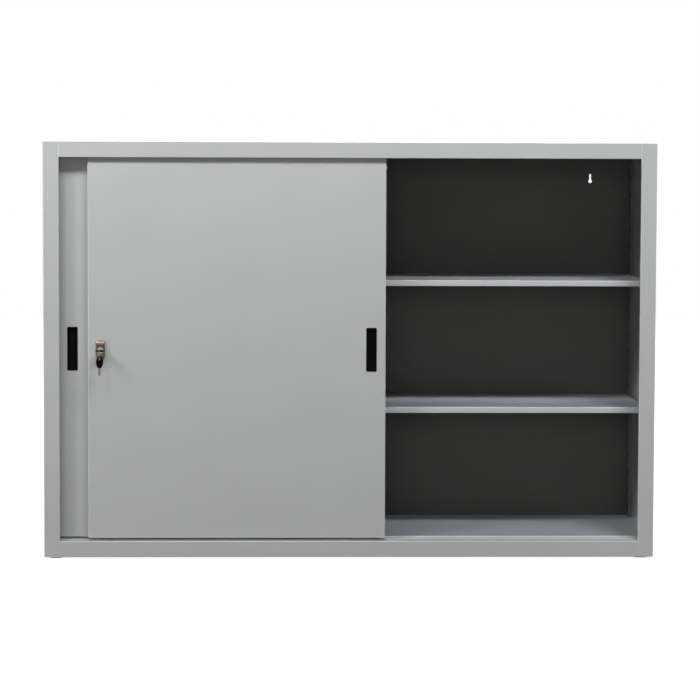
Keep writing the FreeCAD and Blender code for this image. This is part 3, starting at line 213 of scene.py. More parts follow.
def makeDustAndPaintedLight():
    # recolours and dulls faces that look up, in drifts and more to the rear: dust on frame and track,
    # painted shade and light on shelves and floor
    tree, entry, leaving = newGroup("dust and painted light", [
        ("Vector", "Vector", None), ("Color", "Color", (0.5, 0.5, 0.5, 1)),
        ("Dust", "Color", (0.5, 0.48, 0.45, 1)), ("Share", "Float", 0.2),
        ("Untinted Until", "Float", -10.0), ("Full From", "Float", -9.0), ("Drifts", "Float", 1.0),
        ("Roughness", "Float", 0.4), ("Dust Roughness", "Float", 0.75),
    ], [("Color", "Color"), ("Roughness", "Float")])
    level = rangeNode(tree, normalAxes(tree)["Z"], 0.75, 0.98)
    cloud = rangeNode(tree, noiseNode(tree, entry["Vector"], 7.0, 5.0, 0.62), 0.4, 0.68)
    drift = mathNode(tree, "SUBTRACT", 1.0, mathNode(tree, "MULTIPLY", entry["Drifts"],
                                                     mathNode(tree, "SUBTRACT", 1.0, cloud)))
    depth = addNode(tree, "ShaderNodeSeparateXYZ", {"Vector": entry["Vector"]}).outputs["Y"]
    rearward = rangeNode(tree, depth, entry["Untinted Until"], entry["Full From"])
    mask = mathNode(tree, "MULTIPLY", mathNode(tree, "MULTIPLY", level, drift),
                    mathNode(tree, "MULTIPLY", rearward, entry["Share"]), True)
    tree.links.new(mixNode(tree, mask, entry["Color"], entry["Dust"]), leaving["Color"])
    rougher = mathNode(tree, "MULTIPLY", mask,
                       mathNode(tree, "SUBTRACT", entry["Dust Roughness"], entry["Roughness"]))
    tree.links.new(mathNode(tree, "ADD", entry["Roughness"], rougher), leaving["Roughness"])
    return tree


powderCoat = makePowderCoat()
platedGrain = makePlatedGrain()
mouldedGrain = makeMouldedGrain()
edgeHighlight = makeEdgeHighlight()
dustAndPaintedLight = makeDustAndPaintedLight()
matt = {"Mottle": 0.35, "Peel": 0.06, "Gloss Spread": 0.05}      # the body's powder coat
dullSpecular = 0.04                                              # of the darker inner colour, which is painted shade


def wireShader(tree, shader, colour, roughness, normal, **shaderValues):
    tree.links.new(colour, shader.inputs["Base Color"])
    tree.links.new(roughness, shader.inputs["Roughness"])
    tree.links.new(normal, shader.inputs["Normal"])
    for socket, value in shaderValues.items():
        shader.inputs[socket].default_value = value


def finishFrom(name, group, values, layers=(), **shaderValues):
    # one material whose colour, gloss and relief come from a shared effect; each layer recolours it
    material, tree, shader, spots = newMaterial(name)
    outputs = placeGroup(tree, group, {"Vector": spots, **values})
    colour, roughness = outputs["Color"], outputs["Roughness"]
    for layer, layerValues in layers:
        dulled = {"Roughness": roughness} if layer == dustAndPaintedLight else {}     # the dust and painted light layer changes the gloss too
        recoloured = placeGroup(tree, layer, {"Vector": spots, "Color": colour, **dulled, **layerValues})
        colour = recoloured["Color"]
        if dulled:
            roughness = recoloured["Roughness"]
    wireShader(tree, shader, colour, roughness, outputs["Normal"], **shaderValues)
    return material


def makeWeldMarks(tree, spots, normal):
    # shallow rings left by spot welds: two rows along the foot and the head of the sheet
    weld = {"pitch": 0.12, "radius": 0.0032, "flat": 0.6, "low": 0.056, "high": 1.008}
    place = addNode(tree, "ShaderNodeSeparateXYZ", {"Vector": spots}).outputs
    step = addNode(tree, "ShaderNodeMath", {0: place["X"], 1: weld["pitch"] / 2, 2: -weld["pitch"] / 2},
                   operation="WRAP").outputs[0]
    middle, half = (weld["low"] + weld["high"]) / 2, (weld["high"] - weld["low"]) / 2
    fromMiddle = mathNode(tree, "ABSOLUTE", mathNode(tree, "SUBTRACT", place["Z"], middle))
    row = mathNode(tree, "SUBTRACT", fromMiddle, half)
    away = mathNode(tree, "SQRT", mathNode(tree, "ADD", mathNode(tree, "MULTIPLY", step, step),
                                           mathNode(tree, "MULTIPLY", row, row)))
    dish = rangeNode(tree, away, weld["radius"] * weld["flat"], weld["radius"])
    return bumpNode(tree, dish, 0.6, 0.0004, normal)


def makeBackFinish(inside, outside, roughness):
    # rear sheet: the room side has the darker inner colour, which is painted shade; the wall side the
    # body's own
    material, tree, shader, spots = newMaterial("back sheet")
    outer = rangeNode(tree, normalAxes(tree)["Y"], 0.2, 0.6)
    outputs = placeGroup(tree, powderCoat, {
        "Vector": spots, "Paint": mixNode(tree, outer, inside[0], outside[0]),
        "Shade": mixNode(tree, outer, inside[1], outside[1]), "Roughness": roughness, **matt})
    wireShader(tree, shader, outputs["Color"], outputs["Roughness"],
               makeWeldMarks(tree, spots, outputs["Normal"]), **{"Specular IOR Level": dullSpecular})
    return material


def makeUprightFinish(name, node, face, hollow, roughness):
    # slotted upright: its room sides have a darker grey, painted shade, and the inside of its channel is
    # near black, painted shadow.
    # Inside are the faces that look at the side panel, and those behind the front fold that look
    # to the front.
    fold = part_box(node)[0].y + 0.004
    material, tree, shader, spots = newMaterial(name)
    place = addNode(tree, "ShaderNodeSeparateXYZ", {"Vector": spots}).outputs
    normal = normalAxes(tree)
    wallward = rangeNode(tree, mathNode(tree, "MULTIPLY", place["X"], normal["X"]), 0.2, 0.3)
    behind = mathNode(tree, "MULTIPLY", rangeNode(tree, place["Y"], fold, fold + 0.001),
                      rangeNode(tree, normal["Y"], -0.4, -0.6))
    inside = mathNode(tree, "MAXIMUM", wallward, behind)
    outputs = placeGroup(tree, powderCoat, {
        "Vector": spots, "Paint": mixNode(tree, inside, face[0], hollow),
        "Shade": mixNode(tree, inside, face[1], hollow), "Roughness": roughness, **matt})
    wireShader(tree, shader, outputs["Color"], outputs["Roughness"], outputs["Normal"],
               **{"Specular IOR Level": dullSpecular})
    return material


def makeFinishes():
    lightGrey = ((0.50, 0.505, 0.51, 1), (0.455, 0.458, 0.46, 1))        # paint, its darker mottle
    # painted shade: the inside of the cupboard is given a darker grey
    insideShadeGrey = ((0.186, 0.182, 0.174, 1), (0.16, 0.156, 0.149, 1))
    # painted shade on the uprights' room sides
    uprightShadeGrey = ((0.26, 0.256, 0.248, 1), (0.22, 0.216, 0.208, 1))
    # painted shadow inside the uprights' channels
    hollowShadowGrey = (0.02, 0.02, 0.02, 1)
    insideRoughness = 0.6
    # painted highlight: the body's lighter edges and folds stand in for the light their roundings catch
    edgeHighlightLayer = (edgeHighlight, {"Edge": (0.85, 0.855, 0.86, 1), "Radius": 0.0016, "Folds": 1.0,
                            "Share": 0.9})
    paleDust = (dustAndPaintedLight, {"Dust": (0.30, 0.297, 0.29, 1), "Share": 0.55, "Drifts": 0.22})
    # painted shade with a cool cast: the shelves' top faces are darker than their lips
    shelfTopShade = (dustAndPaintedLight, {"Dust": (0.27, 0.29, 0.322, 1), "Share": 0.75, "Drifts": 0.2,
                               "Dust Roughness": 0.32})
    # painted light: the shelves' top faces grow lighter towards the rear
    shelfRearLight = (dustAndPaintedLight, {"Dust": (0.60, 0.62, 0.64, 1), "Share": 1.0, "Drifts": 0.15,
                               "Untinted Until": -0.02, "Full From": 0.24, "Dust Roughness": 0.9})
    # painted shade with a cool cast: the floor's top face is darker than the rail
    floorTopShade = (dustAndPaintedLight, {"Dust": (0.36, 0.38, 0.415, 1), "Share": 0.75, "Drifts": 0.2,
                               "Dust Roughness": 0.32})
    # painted light: the floor grows lighter towards the rear
    floorRearLight = (dustAndPaintedLight, {"Dust": (0.8, 0.82, 0.84, 1), "Share": 1.0, "Drifts": 0.15,
                               "Untinted Until": 0.08, "Full From": 0.2, "Dust Roughness": 0.9})
    finishes = {}
    for slot, (paint, shade), roughness, specular, layers in (
            ("frame_paint", lightGrey, 0.22, 0.25, (edgeHighlightLayer, paleDust)),
            ("door_paint", lightGrey, 0.22, 0.25, (edgeHighlightLayer,)),
            ("shelf_paint", lightGrey, 0.32, 0.42, (edgeHighlightLayer, shelfTopShade, shelfRearLight)),
            ("floor_paint", lightGrey, 0.32, 0.42, (edgeHighlightLayer, floorTopShade, floorRearLight)),
            ("interior_paint", insideShadeGrey, insideRoughness, dullSpecular, ())):
        finishes[slot] = finishFrom(slot, powderCoat, {
            "Paint": paint, "Shade": shade, "Roughness": roughness, **matt},
            layers, **{"Specular IOR Level": specular})
    for row in ("front", "rear"):
        finishes[f"{row}_upright"] = makeUprightFinish(
            f"{row}_upright", f"{row}_upright_left", uprightShadeGrey, hollowShadowGrey, insideRoughness)
    finishes["back_sheet"] = makeBackFinish(insideShadeGrey, lightGrey, insideRoughness)
    finishes["track_steel"] = finishFrom("track_steel", powderCoat, {
        "Paint": (0.5, 0.505, 0.51, 1), "Shade": (0.4, 0.4, 0.4, 1), "Mottle": 0.5, "Peel": 0.2,
        "Roughness": 0.4, "Gloss Spread": 0.1},
        # painted highlight along the track's edges
        ((edgeHighlight, {"Edge": (0.8, 0.8, 0.8, 1), "Radius": 0.001, "Share": 0.6}),
         (dustAndPaintedLight, {"Dust": (0.3, 0.28, 0.25, 1), "Share": 0.35})))
    finishes["zinc_steel"] = finishFrom("zinc_steel", platedGrain, {
        "Metal": (0.62, 0.63, 0.65, 1), "Tarnish": (0.38, 0.38, 0.38, 1), "Tarnish Share": 0.6,
        "Roughness": 0.32, "Spread": 0.2, "Lines": 0.1}, Metallic=1.0)
    finishes["lock_chrome"] = finishFrom("lock_chrome", platedGrain, {
        "Metal": (0.15, 0.122, 0.106, 1), "Tarnish": (0.055, 0.04, 0.032, 1), "Tarnish Share": 0.7,
        "Roughness": 0.22, "Spread": 0.15, "Lines": 0.05},
        # painted highlight along the lock case's edges
        ((edgeHighlight, {"Edge": (0.5, 0.46, 0.43, 1), "Radius": 0.0004, "Share": 0.6}),), Metallic=1.0)
    finishes["barrel_chrome"] = finishFrom("barrel_chrome", platedGrain, {
        "Metal": (0.40, 0.35, 0.33, 1), "Tarnish": (0.16, 0.12, 0.10, 1), "Tarnish Share": 0.5,
        "Roughness": 0.25, "Spread": 0.15, "Lines": 0.05}, Metallic=1.0)
    finishes["key_nickel"] = finishFrom("key_nickel", platedGrain, {
        "Metal": (0.27, 0.27, 0.20, 1), "Tarnish": (0.13, 0.125, 0.08, 1), "Tarnish Share": 0.6,
        "Roughness": 0.3, "Spread": 0.2, "Lines": 0.1},
        # painted highlight along the key metal's edges
        ((edgeHighlight, {"Edge": (0.6, 0.58, 0.46, 1), "Radius": 0.0003, "Share": 0.7}),), Metallic=1.0)
    finishes["handle_plastic"] = finishFrom("handle_plastic", mouldedGrain, {
        "Plastic": (0.003, 0.003, 0.0032, 1), "Dust": (0.009, 0.009, 0.009, 1), "Dust Share": 0.25,
        "Roughness": 0.45, "Spread": 0.15, "Grain": 0.15},
        # painted highlight along the black plastic's edges
        ((edgeHighlight, {"Edge": (0.02, 0.02, 0.02, 1), "Radius": 0.0005, "Share": 0.5}),),
        **{"Specular IOR Level": 0.03})
    finishes["foot_plastic"] = finishFrom("foot_plastic", mouldedGrain, {
        "Plastic": (0.006, 0.006, 0.006, 1), "Dust": (0.04, 0.038, 0.035, 1), "Dust Share": 0.5,
        "Roughness": 0.6, "Spread": 0.2, "Grain": 0.2}, **{"Specular IOR Level": 0.1})
    finishes["nylon"] = finishFrom("nylon", mouldedGrain, {
        "Plastic": (0.36, 0.35, 0.32, 1), "Dust": (0.2, 0.19, 0.17, 1), "Dust Share": 0.4,
        "Roughness": 0.38, "Spread": 0.15, "Grain": 0.1})
    finishes["stop_rubber"] = finishFrom("stop_rubber", mouldedGrain, {
        "Plastic": (0.02, 0.02, 0.021, 1), "Dust": (0.16, 0.15, 0.14, 1), "Dust Share": 0.5,
        "Roughness": 0.7, "Spread": 0.15, "Grain": 0.3})
    return finishes


finishes = makeFinishes()
# nodes whose finish isn't simply that of their slot
ownFinish = {"floor_panel": "floor_paint", "back_panel": "back_sheet",
             "lock_barrel": "barrel_chrome", "lock_plug": "barrel_chrome"}
for row in ("front", "rear"):
    for side in ("left", "right"):
        ownFinish[f"{row}_upright_{side}"] = f"{row}_upright"
for node, part in frame["nodes"].items():
    finish = ownFinish.get(node, slotOfNode[node])
    for materialSlot in part.material_slots:
        materialSlot.material = finishes[finish]
print("finishes placed:", len(finishes))


def shellFrom(rings, joined=False):
    # rings: rows x columns x 3 points; neighbours make quads, and each end is closed by a fan to
    # its middle unless the last row joins the first
    rows, columns = rings.shape[:2]
    row = np.arange(rows if joined else rows - 1)[:, None]
    column = np.arange(columns)
    onward, following = (row + 1) % rows, (column + 1) % columns
    quads = np.stack(np.broadcast_arrays(
        row * columns + column, row * columns + following,
        onward * columns + following, onward * columns + column), axis=-1).reshape(-1, 4)
    points, fans = rings.reshape(-1, 3), np.empty((0, 3), int)
    if not joined:
        first, last, pole = column, (rows - 1) * columns + column, rows * columns
        points = np.vstack([points, rings[0].mean(axis=0), rings[-1].mean(axis=0)])
        fans = np.vstack([
            np.stack([np.full(columns, pole), following, first], axis=1),
            np.stack([np.full(columns, pole + 1), last, last[following]], axis=1)])
    # the volume inside, as a sum over triangles, is negative where the faces look inwards
    halves = np.vstack([quads[:, [0, 1, 2]], quads[:, [0, 2, 3]], fans])
    a, b, c = points[halves[:, 0]], points[halves[:, 1]], points[halves[:, 2]]
    if (a * np.cross(b, c)).sum() < 0:
        quads, fans = quads[:, ::-1], fans[:, ::-1]
    return points, quads, fans


def addPiece(name, shells, body, slot, replaced=()):
    # closed shells in millimetres, joined in one mesh in metres
    faces, start = [], 0
    for points, quads, fans in shells:
        faces += (quads + start).tolist() + (fans + start).tolist()
        start += len(points)
    mesh = bpy.data.meshes.new(name)
    mesh.from_pydata((np.vstack([shell[0] for shell in shells]) / 1000).tolist(), [], faces)
    mesh.shade_smooth()
    mesh.set_sharp_from_angle(angle=math.radians(32.0))     # a fold sharper than this stays an edge
    mesh.materials.append(finishes[slot])
    piece = bpy.data.objects.new(name, mesh)
    bpy.context.scene.collection.objects.link(piece)
    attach(piece, body)
    if replaced:
        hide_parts(*replaced)


def boxOf(node):
    # lowest and highest corner of a node in millimetres
    return (np.array(corner) * 1000 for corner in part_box(node))


def roundedRings(halfWidths, halfHeights, radii, columns):
    # circles pulled apart: across = r cos u + (a - r) sgn(cos u), up = r sin u + (b - r) sgn(sin u)
    turn = (np.arange(columns) + 0.5) * 2 * np.pi / columns
    a, b, r = (np.asarray(value, float)[..., None] for value in (halfWidths, halfHeights, radii))
    return (r * np.cos(turn) + (a - r) * np.sign(np.cos(turn)),
            r * np.sin(turn) + (b - r) * np.sign(np.sin(turn)))


def softPolygon(sides, turn, sharpness):
    # distance from the middle to a rounded convex outline in the direction u:
    # (sum over the sides of (cos(u - side's angle) / side's distance)^p)^(-1/p)
    angle, distance = np.radians(sides)[:, 0], np.array(sides)[:, 1]
    facing = np.clip(np.cos(turn[:, None] - angle), 0, None) / distance
    return (facing ** sharpness).sum(axis=1) ** (-1 / sharpness)


def makeScrewHead(middle, radius, proud):
    # dome less a cross: depth = dome (r / R)^2 + recess where the narrower of |x|, |z| is inside a
    # blade's width and the wider one inside its reach, each edge a steep 1 / (1 + exp(k s))
    cross = {"blade": 0.16, "reach": 0.62, "recess": 0.5, "dome": 0.35,    # of radius; of proud
             "steepness": 40, "rings": 16, "columns": 40, "innermost": 0.06, "sunk": 0.3}
    steepness, columns = cross["steepness"], cross["columns"]
    share = np.linspace(cross["innermost"], 1.0, cross["rings"])[:, None]
    turn = np.arange(columns) * 2 * np.pi / columns
    x, z = share * np.cos(turn), share * np.sin(turn)
    narrow, wide = np.minimum(abs(x), abs(z)), np.maximum(abs(x), abs(z))
    cut = (1 / (1 + np.exp((narrow - cross["blade"]) * steepness))
           / (1 + np.exp((wide - cross["reach"]) * steepness)))
    depth = proud * (cross["dome"] * share ** 2 + cross["recess"] * cut)
    x, z = np.vstack([x, x[-1:]]), np.vstack([z, z[-1:]])
    depth = np.vstack([depth, np.full((1, columns), proud + cross["sunk"])])
    return shellFrom(np.stack([middle[0] + radius * x, middle[1] + depth, middle[2] + radius * z], axis=-1))


def makeFingerPull(name, node, body):
    # moulded cup behind a thin rim: rounded rectangles set in by an inset and back by a depth
    pull = {"corner": 3.0, "columns": 72,
            "inset": (3.4, 3.0, 3.0, 0.0, 0.0, 0.25, 0.7, 1.1, 2.2, 2.8, 3.4, 4.2, 4.6, 5.2, 6.4, 8.6),
            "depth": (12.2, 11.8, 1.2, 1.2, 0.9, 0.35, 0.05, 0.0,
                      0.0, 0.15, 0.7, 3.0, 8.0, 9.6, 10.2, 10.3),
            "bottom": 10.3,                                 # depth of the cup's floor
            "ribWidth": 1.5, "ribEnd": 18.0, "ribCorner": 0.3, "ribColumns": 24,
            # the rib's inset and depth from its foot inside the floor to its crest
            "ribInset": (0.0, 0.0, 0.12, 0.4), "ribDepth": (10.8, 7.4, 7.05, 6.9),
            "screwAway": 42.0, "screwRadius": 3.1, "screwProud": 1.3}
    low, high = boxOf(node)
    middle, half = (low + high) / 2, (high - low) / 2
    inset, depth = np.array(pull["inset"]), np.array(pull["depth"])
    corner = np.clip(pull["corner"] - inset * 0.3, 1.0, None)      # tighter towards the cup's floor
    x, z = roundedRings(half[0] - inset, half[2] - inset, corner, pull["columns"])
    y = np.broadcast_to(depth[:, None], x.shape)
    shells = [shellFrom(np.stack([middle[0] + x, low[1] + y, middle[2] + z], axis=-1))]
    # the grip's rib stands on the cup's floor
    inset, depth = np.array(pull["ribInset"]), np.array(pull["ribDepth"])
    x, z = roundedRings(pull["ribWidth"] / 2 - inset, half[2] - pull["ribEnd"] - inset,
                        np.full(len(inset), pull["ribCorner"]), pull["ribColumns"])
    y = np.broadcast_to(depth[:, None], x.shape)
    shells.append(shellFrom(np.stack([middle[0] + x, low[1] + y, middle[2] + z], axis=-1)))
    for side in (-1, 1):
        shells.append(makeScrewHead((middle[0], low[1] + pull["bottom"] - pull["screwProud"],
                                     middle[2] + side * pull["screwAway"]),
                                    pull["screwRadius"], pull["screwProud"]))
    addPiece(name, shells, body, "handle_plastic", (node,))


def makeLockCase():
    # bezel lofted from the bore's circle to rounded rectangles; its head slopes back
    case = {"columns": 96, "boreFit": 0.1, "corner": 2.2, "neck": 1.5, "proud": 9.0,
            # set in at the sides and the foot, set in at the head, depth behind the face
            "rows": ((1.3, 5.2, 0.0), (0.9, 4.9, 0.08), (0.45, 4.5, 0.3), (0.12, 3.4, 0.9),
                     (0.0, 2.2, 1.45), (0.0, 0.5, 2.35), (0.0, 0.12, 2.8), (0.0, 0.0, 3.4)),
            # the bore's edge: growth of its radius, depth
            "mouth": ((0.0, 0.5), (0.12, 0.12), (0.35, 0.0))}
    low, high = boxOf("lock_housing")
    barrelLow, barrelHigh = boxOf("lock_barrel")
    columns, bore = case["columns"], (barrelHigh[0] - barrelLow[0]) / 2 + case["boreFit"]
    middle, half = (low + high) / 2, (high - low) / 2
    boreZ = (barrelLow[2] + barrelHigh[2]) / 2
    depthOfCase = high[1] - low[1]
    neck, proud = case["neck"], case["proud"]
    side, head, depth = np.array(case["rows"] + (
        (0.0, 0.0, proud), (neck, neck, proud), (neck, neck, depthOfCase))).T
    x, z = roundedRings(half[0] - side, half[2] - (side + head) / 2,
                        np.full(len(side), case["corner"]), columns)
    outer = np.stack([middle[0] + x, np.broadcast_to(low[1] + depth[:, None], x.shape),
                      middle[2] + z - ((head - side) / 2)[:, None]], axis=-1)
    growth, depth = np.array(((0.0, depthOfCase),) + case["mouth"]).T
    x, z = roundedRings(bore + growth, bore + growth, bore + growth, columns)
    inner = np.stack([middle[0] + x, np.broadcast_to(low[1] + depth[:, None], x.shape), boreZ + z],
                     axis=-1)
    addPiece("lock_case", [shellFrom(np.vstack([inner, outer]), joined=True)],
             "front_door", "lock_chrome", ("lock_housing",))


def bowSurface(bow):
    # key head in its own plane, walked round its eye: distance = eye + f (outline - eye) + o,
    # crowned, with a thumb dish: height = h - dish exp(-(distance from the dish)^2 / spread^2)
    turn = np.arange(bow["columns"]) * 2 * np.pi / bow["columns"]
    eye = softPolygon(bow["eyeSides"], turn, bow["eyeSharpness"])
    outline = softPolygon(bow["sides"], turn, bow["sharpness"])
    share, shift, height = np.array(bow["section"]).T
    share, shift, height = (np.concatenate([value, value[-2:0:-1] * turnOver])[:, None]
                            for value, turnOver in ((share, 1), (shift, 1), (height, -1)))
    away = eye + share * (outline - eye) + shift
    x, y = away * np.cos(turn), away * np.sin(turn) - bow["eyeAt"]
    dish = bow["dish"] * np.exp(-(x ** 2 + (y + bow["dishAt"]) ** 2) / bow["dishSpread"] ** 2)
    z = height - np.sign(height) * np.minimum(dish, abs(height) * bow["deepestDish"])
    return np.stack([x, y, z], axis=-1)


def makeKeys():
    bow = {"columns": 96, "eyeAt": 23.8, "sharpness": 20.0, "eyeSharpness": 8.0, "spareTurn": 44.0,
           "dish": 0.35, "dishAt": 9.0, "dishSpread": 5.0, "deepestDish": 0.4,    # the last of the height
           "sides": ((90, 23.8), (-90, 6.2), (0, 10.5), (180, 10.5), (33.69, 16.95), (146.31, 16.95),
                     (-33.69, 7.18), (-146.31, 7.18)),       # direction, distance from the eye's middle
           "eyeSides": ((90, 3.7), (-90, 3.7), (0, 4.5), (180, 4.5)),
           # share of the way out, shift, height of the upper face
           "section": ((0, 0, 0), (0, 0, 0.8), (0, 0.2, 1.1), (0, 0.6, 1.25), (0.5, 0, 1.45),
                       (0.8, -0.3, 1.4), (1, -0.6, 1.25), (1, -0.2, 1.05), (1, 0, 0.7), (1, 0, 0))}
    local = bowSurface(bow)
    low, high = boxOf("key_bow")
    spot = np.array(((low[0] + high[0]) / 2, high[1], (low[2] + high[2]) / 2))
    addPiece("key_head", [shellFrom(local + spot, joined=True)], "key", "handle_plastic", ("key_bow",))
    low, high = boxOf("spare_key_bow")
    spot = np.array(((low[0] + high[0]) / 2, (low[1] + high[1]) / 2, low[2]))
    angle = math.radians(bow["spareTurn"])
    hanging = np.stack([local[..., 0] * math.cos(angle) - local[..., 2] * math.sin(angle),
                        local[..., 0] * math.sin(angle) + local[..., 2] * math.cos(angle),
                        -local[..., 1]], axis=-1)
    addPiece("spare_key_head", [shellFrom(hanging + spot, joined=True)], "spare_key", "handle_plastic",
             ("spare_key_bow",))


def makeSplitRing():
    # flat wire carried twice round a circle, crossing from one side to the other on the way:
    # side = shift tanh(k (t - middle)), an oval of the wire's half sizes across the path
    wire = {"halfDeep": 0.62, "halfWide": 0.33, "shift": 0.35, "crossing": 2.5, "steps": 150,
            "around": 14, "turns": 1.94, "start": 0.9, "setIn": 0.7}
    low, high = boxOf("key_ring")
    middle, radius = (low + high) / 2, (high[2] - low[2]) / 2 - wire["setIn"]
    t = np.linspace(0, wire["turns"] * 2 * np.pi, wire["steps"])[:, None] + wire["start"]
    u = np.arange(wire["around"]) * 2 * np.pi / wire["around"]
    side = wire["shift"] * np.tanh(wire["crossing"] * (t - wire["start"] - wire["turns"] * np.pi))
    reach = radius + wire["halfDeep"] * np.cos(u) * np.ones_like(t)
    x = middle[0] + side + wire["halfWide"] * np.sin(u)
    rings = np.stack([x, middle[1] + reach * np.cos(t), middle[2] + reach * np.sin(t)], axis=-1)
    addPiece("split_ring", [shellFrom(rings)], "key", "key_nickel", ("key_ring",))


def makeFootPads():
    # turned disc with a fluted flank: radius = r - flute (1 - cos(flutes u)) / 2
    foot = {"columns": 216, "flutes": 36, "flute": 0.5,
            # radius from the rim, height from the top, share of the fluting
            "rows": ((-3.0, -3.3, 0), (-0.5, -3.3, 0), (0.0, -2.9, 1), (0.0, -1.6, 1), (-0.5, -0.9, 1),
                     (-1.2, -0.4, 0.5), (-2.2, -0.1, 0), (-4.0, 0.0, 0), (-12.0, 0.0, 0))}
    rim, fall, share = (value[:, None] for value in np.array(foot["rows"]).T)
    turn = np.arange(foot["columns"]) * 2 * np.pi / foot["columns"]
    for side in ("front_left", "front_right", "rear_left", "rear_right"):
        low, high = boxOf(f"foot_pad_{side}")
        middle, radius = (low + high) / 2, (high[0] - low[0]) / 2
        away = radius + rim - share * foot["flute"] * (1 - np.cos(foot["flutes"] * turn)) / 2
        height = np.clip(high[2] + fall, low[2], None) * np.ones_like(away)
        rings = np.stack([middle[0] + away * np.cos(turn), middle[1] + away * np.sin(turn), height],
                         axis=-1)
        addPiece(f"{side}_foot_disc", [shellFrom(rings)], f"{side}_foot", "foot_plastic",
                 (f"foot_pad_{side}",))


def makeEdgeLugs(name, node, body):
    # pressed lugs in the relief notches of a door's upright edges
    lug = {"inset": 36.0, "length": 9.0, "deep": 7.5, "gap": 0.15, "columns": 32, "corner": 1.2,
           "reach": (-2.8, 1.0, 1.55, 1.85, 1.95), "shrink": (0.0, 0.0, 0.2, 0.6, 1.2)}
    low, high = boxOf(node)
    reach, shrink = np.array(lug["reach"]), np.array(lug["shrink"])
    halfDeep, halfLong = lug["deep"] / 2 - lug["gap"], lug["length"] / 2 - lug["gap"]
    y, z = roundedRings(halfDeep - shrink, halfLong - shrink, np.full(len(reach), lug["corner"]),
                        lug["columns"])
    shells, inset = [], lug["inset"] + lug["length"] / 2
    for edge, way in ((low[0], -1), (high[0], 1)):
        for level in (low[2] + inset, high[2] - inset):
            x = np.broadcast_to((edge + way * reach)[:, None], y.shape)
            shells.append(shellFrom(np.stack([x, high[1] - lug["deep"] / 2 + y, level + z], axis=-1)))
    addPiece(name, shells, body, "door_paint")


makeFingerPull("front_door_pull", "front_door_handle", "front_door")
makeFingerPull("rear_door_pull", "rear_door_handle", "rear_door")
makeLockCase()
makeKeys()
makeSplitRing()
makeFootPads()
makeEdgeLugs("front_door_lugs", "front_door_panel", "front_door")
makeEdgeLugs("rear_door_lugs", "rear_door_panel", "rear_door")
print("small pieces made")


def seenDirectly(tree):
    # 1 for rays from the camera, from a gloss and through glass, 0 for the light that falls on things
    path = addNode(tree, "ShaderNodeLightPath").outputs
    return mathNode(tree, "MAXIMUM", path["Is Camera Ray"],
                    mathNode(tree, "MAXIMUM", path["Is Glossy Ray"], path["Is Transmission Ray"]))


def makeFloor():
    floor = {"halfSize": 9.0, "clearRadius": 0.9, "whiteRadius": 2.4, "nearWhite": 0.9}
    half = floor["halfSize"]
    mesh = bpy.data.meshes.new("stage_floor")
    mesh.from_pydata([(-half, -half, 0), (half, -half, 0), (half, half, 0), (-half, half, 0)],
                     [], [(0, 1, 2, 3)])
    item = bpy.data.objects.new("stage_floor", mesh)
    bpy.context.scene.collection.objects.link(item)
    material, tree, shader, spots = newMaterial("pale floor")
    away = addNode(tree, "ShaderNodeVectorMath", {0: spots}, operation="LENGTH").outputs["Value"]
    fade = rangeNode(tree, away, floor["clearRadius"], floor["whiteRadius"], floor["nearWhite"], 1.0)
    shader.inputs["Roughness"].default_value = 0.8
    shader.inputs["Base Color"].default_value = (0.15, 0.138, 0.12, 1)
    shader.inputs["Specular IOR Level"].default_value = 0.1
    shader.inputs["Emission Color"].default_value = (1, 1, 1, 1)
    tree.links.new(mathNode(tree, "MULTIPLY", seenDirectly(tree), fade), shader.inputs["Emission Strength"])
    mesh.materials.append(material)


def makeWorld():
    ambient = 0.0066      # strength for the light that falls on things
    world = bpy.data.worlds.new("studio")
    world.use_nodes = True
    tree = world.node_tree
    tree.nodes.clear()
    strength = rangeNode(tree, seenDirectly(tree), 0.0, 1.0, ambient, 1.0)
    sky = addNode(tree, "ShaderNodeBackground", {"Color": (1, 1, 1, 1), "Strength": strength})
    addNode(tree, "ShaderNodeOutputWorld", {"Surface": sky.outputs["Background"]})
    bpy.context.scene.world = world


def makeLamp(name, spot, aim, size, power, spread, colour):
    light = bpy.data.lights.new(name, "AREA")
    light.shape = "RECTANGLE"
    light.size, light.size_y = size
    light.energy = power
    light.spread = math.radians(spread)
    light.color = colour
    item = bpy.data.objects.new(name, light)
    bpy.context.scene.collection.objects.link(item)
    item.location = spot
    item.rotation_euler = (Vector(aim) - Vector(spot)).to_track_quat("-Z", "Y").to_euler()


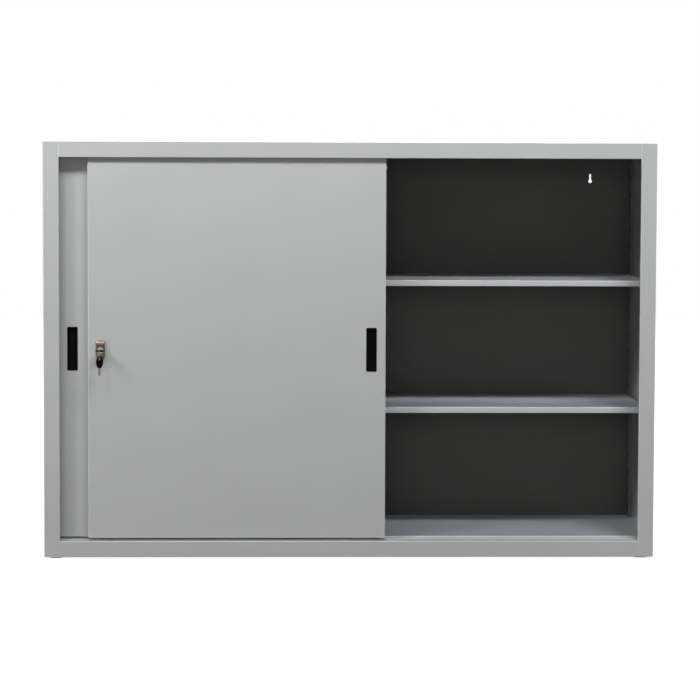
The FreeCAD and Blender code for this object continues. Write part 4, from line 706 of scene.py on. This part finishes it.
def makeLamps():
    front = frontPlane
    cool, white = (0.985, 0.993, 1.0), (1.0, 1.0, 1.0)
    # name, place, aim, width and height, watts, spread in degrees, colour
    for lamp in (
            ("left softbox", (-4.0, front - 5.2, 7.1), (-5.0, front, 5.3), (4.0, 2.1), 986, 88, cool),
            ("right softbox", (3.5, front - 5.2, 7.1), (3.0, front, 5.3), (4.0, 2.1), 407, 88, cool),
            ("wide softbox", (-2.6, front - 5.2, 7.1), (-2.3, front, 5.3), (9.0, 2.1), 144, 88, cool),
            ("left fill", (-5.5, front - 4.0, 5.0), (-0.4, front, 1.5), (2.4, 2.4), 175, 150, cool),
            ("front fill", (-0.2, front - 7.5, 1.6), (-0.2, front, 0.6), (3.0, 1.5), 42, 180, cool),
            ("left light", (-3.2, front + 1.2, 2.2), (-0.75, 0, 0.5), (1.6, 1.6), 60, 180, white),
            ("right light", (3.2, front + 1.2, 2.2), (0.75, 0, 0.5), (1.6, 1.6), 60, 180, white),
            ("rear light", (0.4, 3.4, 2.6), (0, 0.25, 0.5), (2.4, 1.6), 110, 180, white)):
        makeLamp(*lamp)


def makeCamera():
    viewpoint = {"side": -0.2166, "distance": 6.9824, "height": 1.030,    # metres from the front frame
                 "pitch": 4.217, "yaw": 1.770, "roll": 0.203,              # degrees down, right, round
                 "lens": 147.07, "sensor": 36.0}                           # millimetres
    camera = bpy.data.cameras.new("camera")
    camera.sensor_width = viewpoint["sensor"]
    camera.lens = viewpoint["lens"]
    item = bpy.data.objects.new("camera", camera)
    bpy.context.scene.collection.objects.link(item)
    turn = (Matrix.Rotation(-math.radians(viewpoint["yaw"]), 4, "Z")
            @ Matrix.Rotation(math.radians(90 - viewpoint["pitch"]), 4, "X")
            @ Matrix.Rotation(math.radians(viewpoint["roll"]), 4, "Z"))
    spot = Vector((viewpoint["side"], frontPlane - viewpoint["distance"], viewpoint["height"]))
    item.matrix_world = Matrix.Translation(spot) @ turn
    bpy.context.scene.camera = item


makeFloor()
makeWorld()
makeLamps()
makeCamera()
bpy.context.scene.view_settings.view_transform = "Standard"
print("stage, light and camera ready")
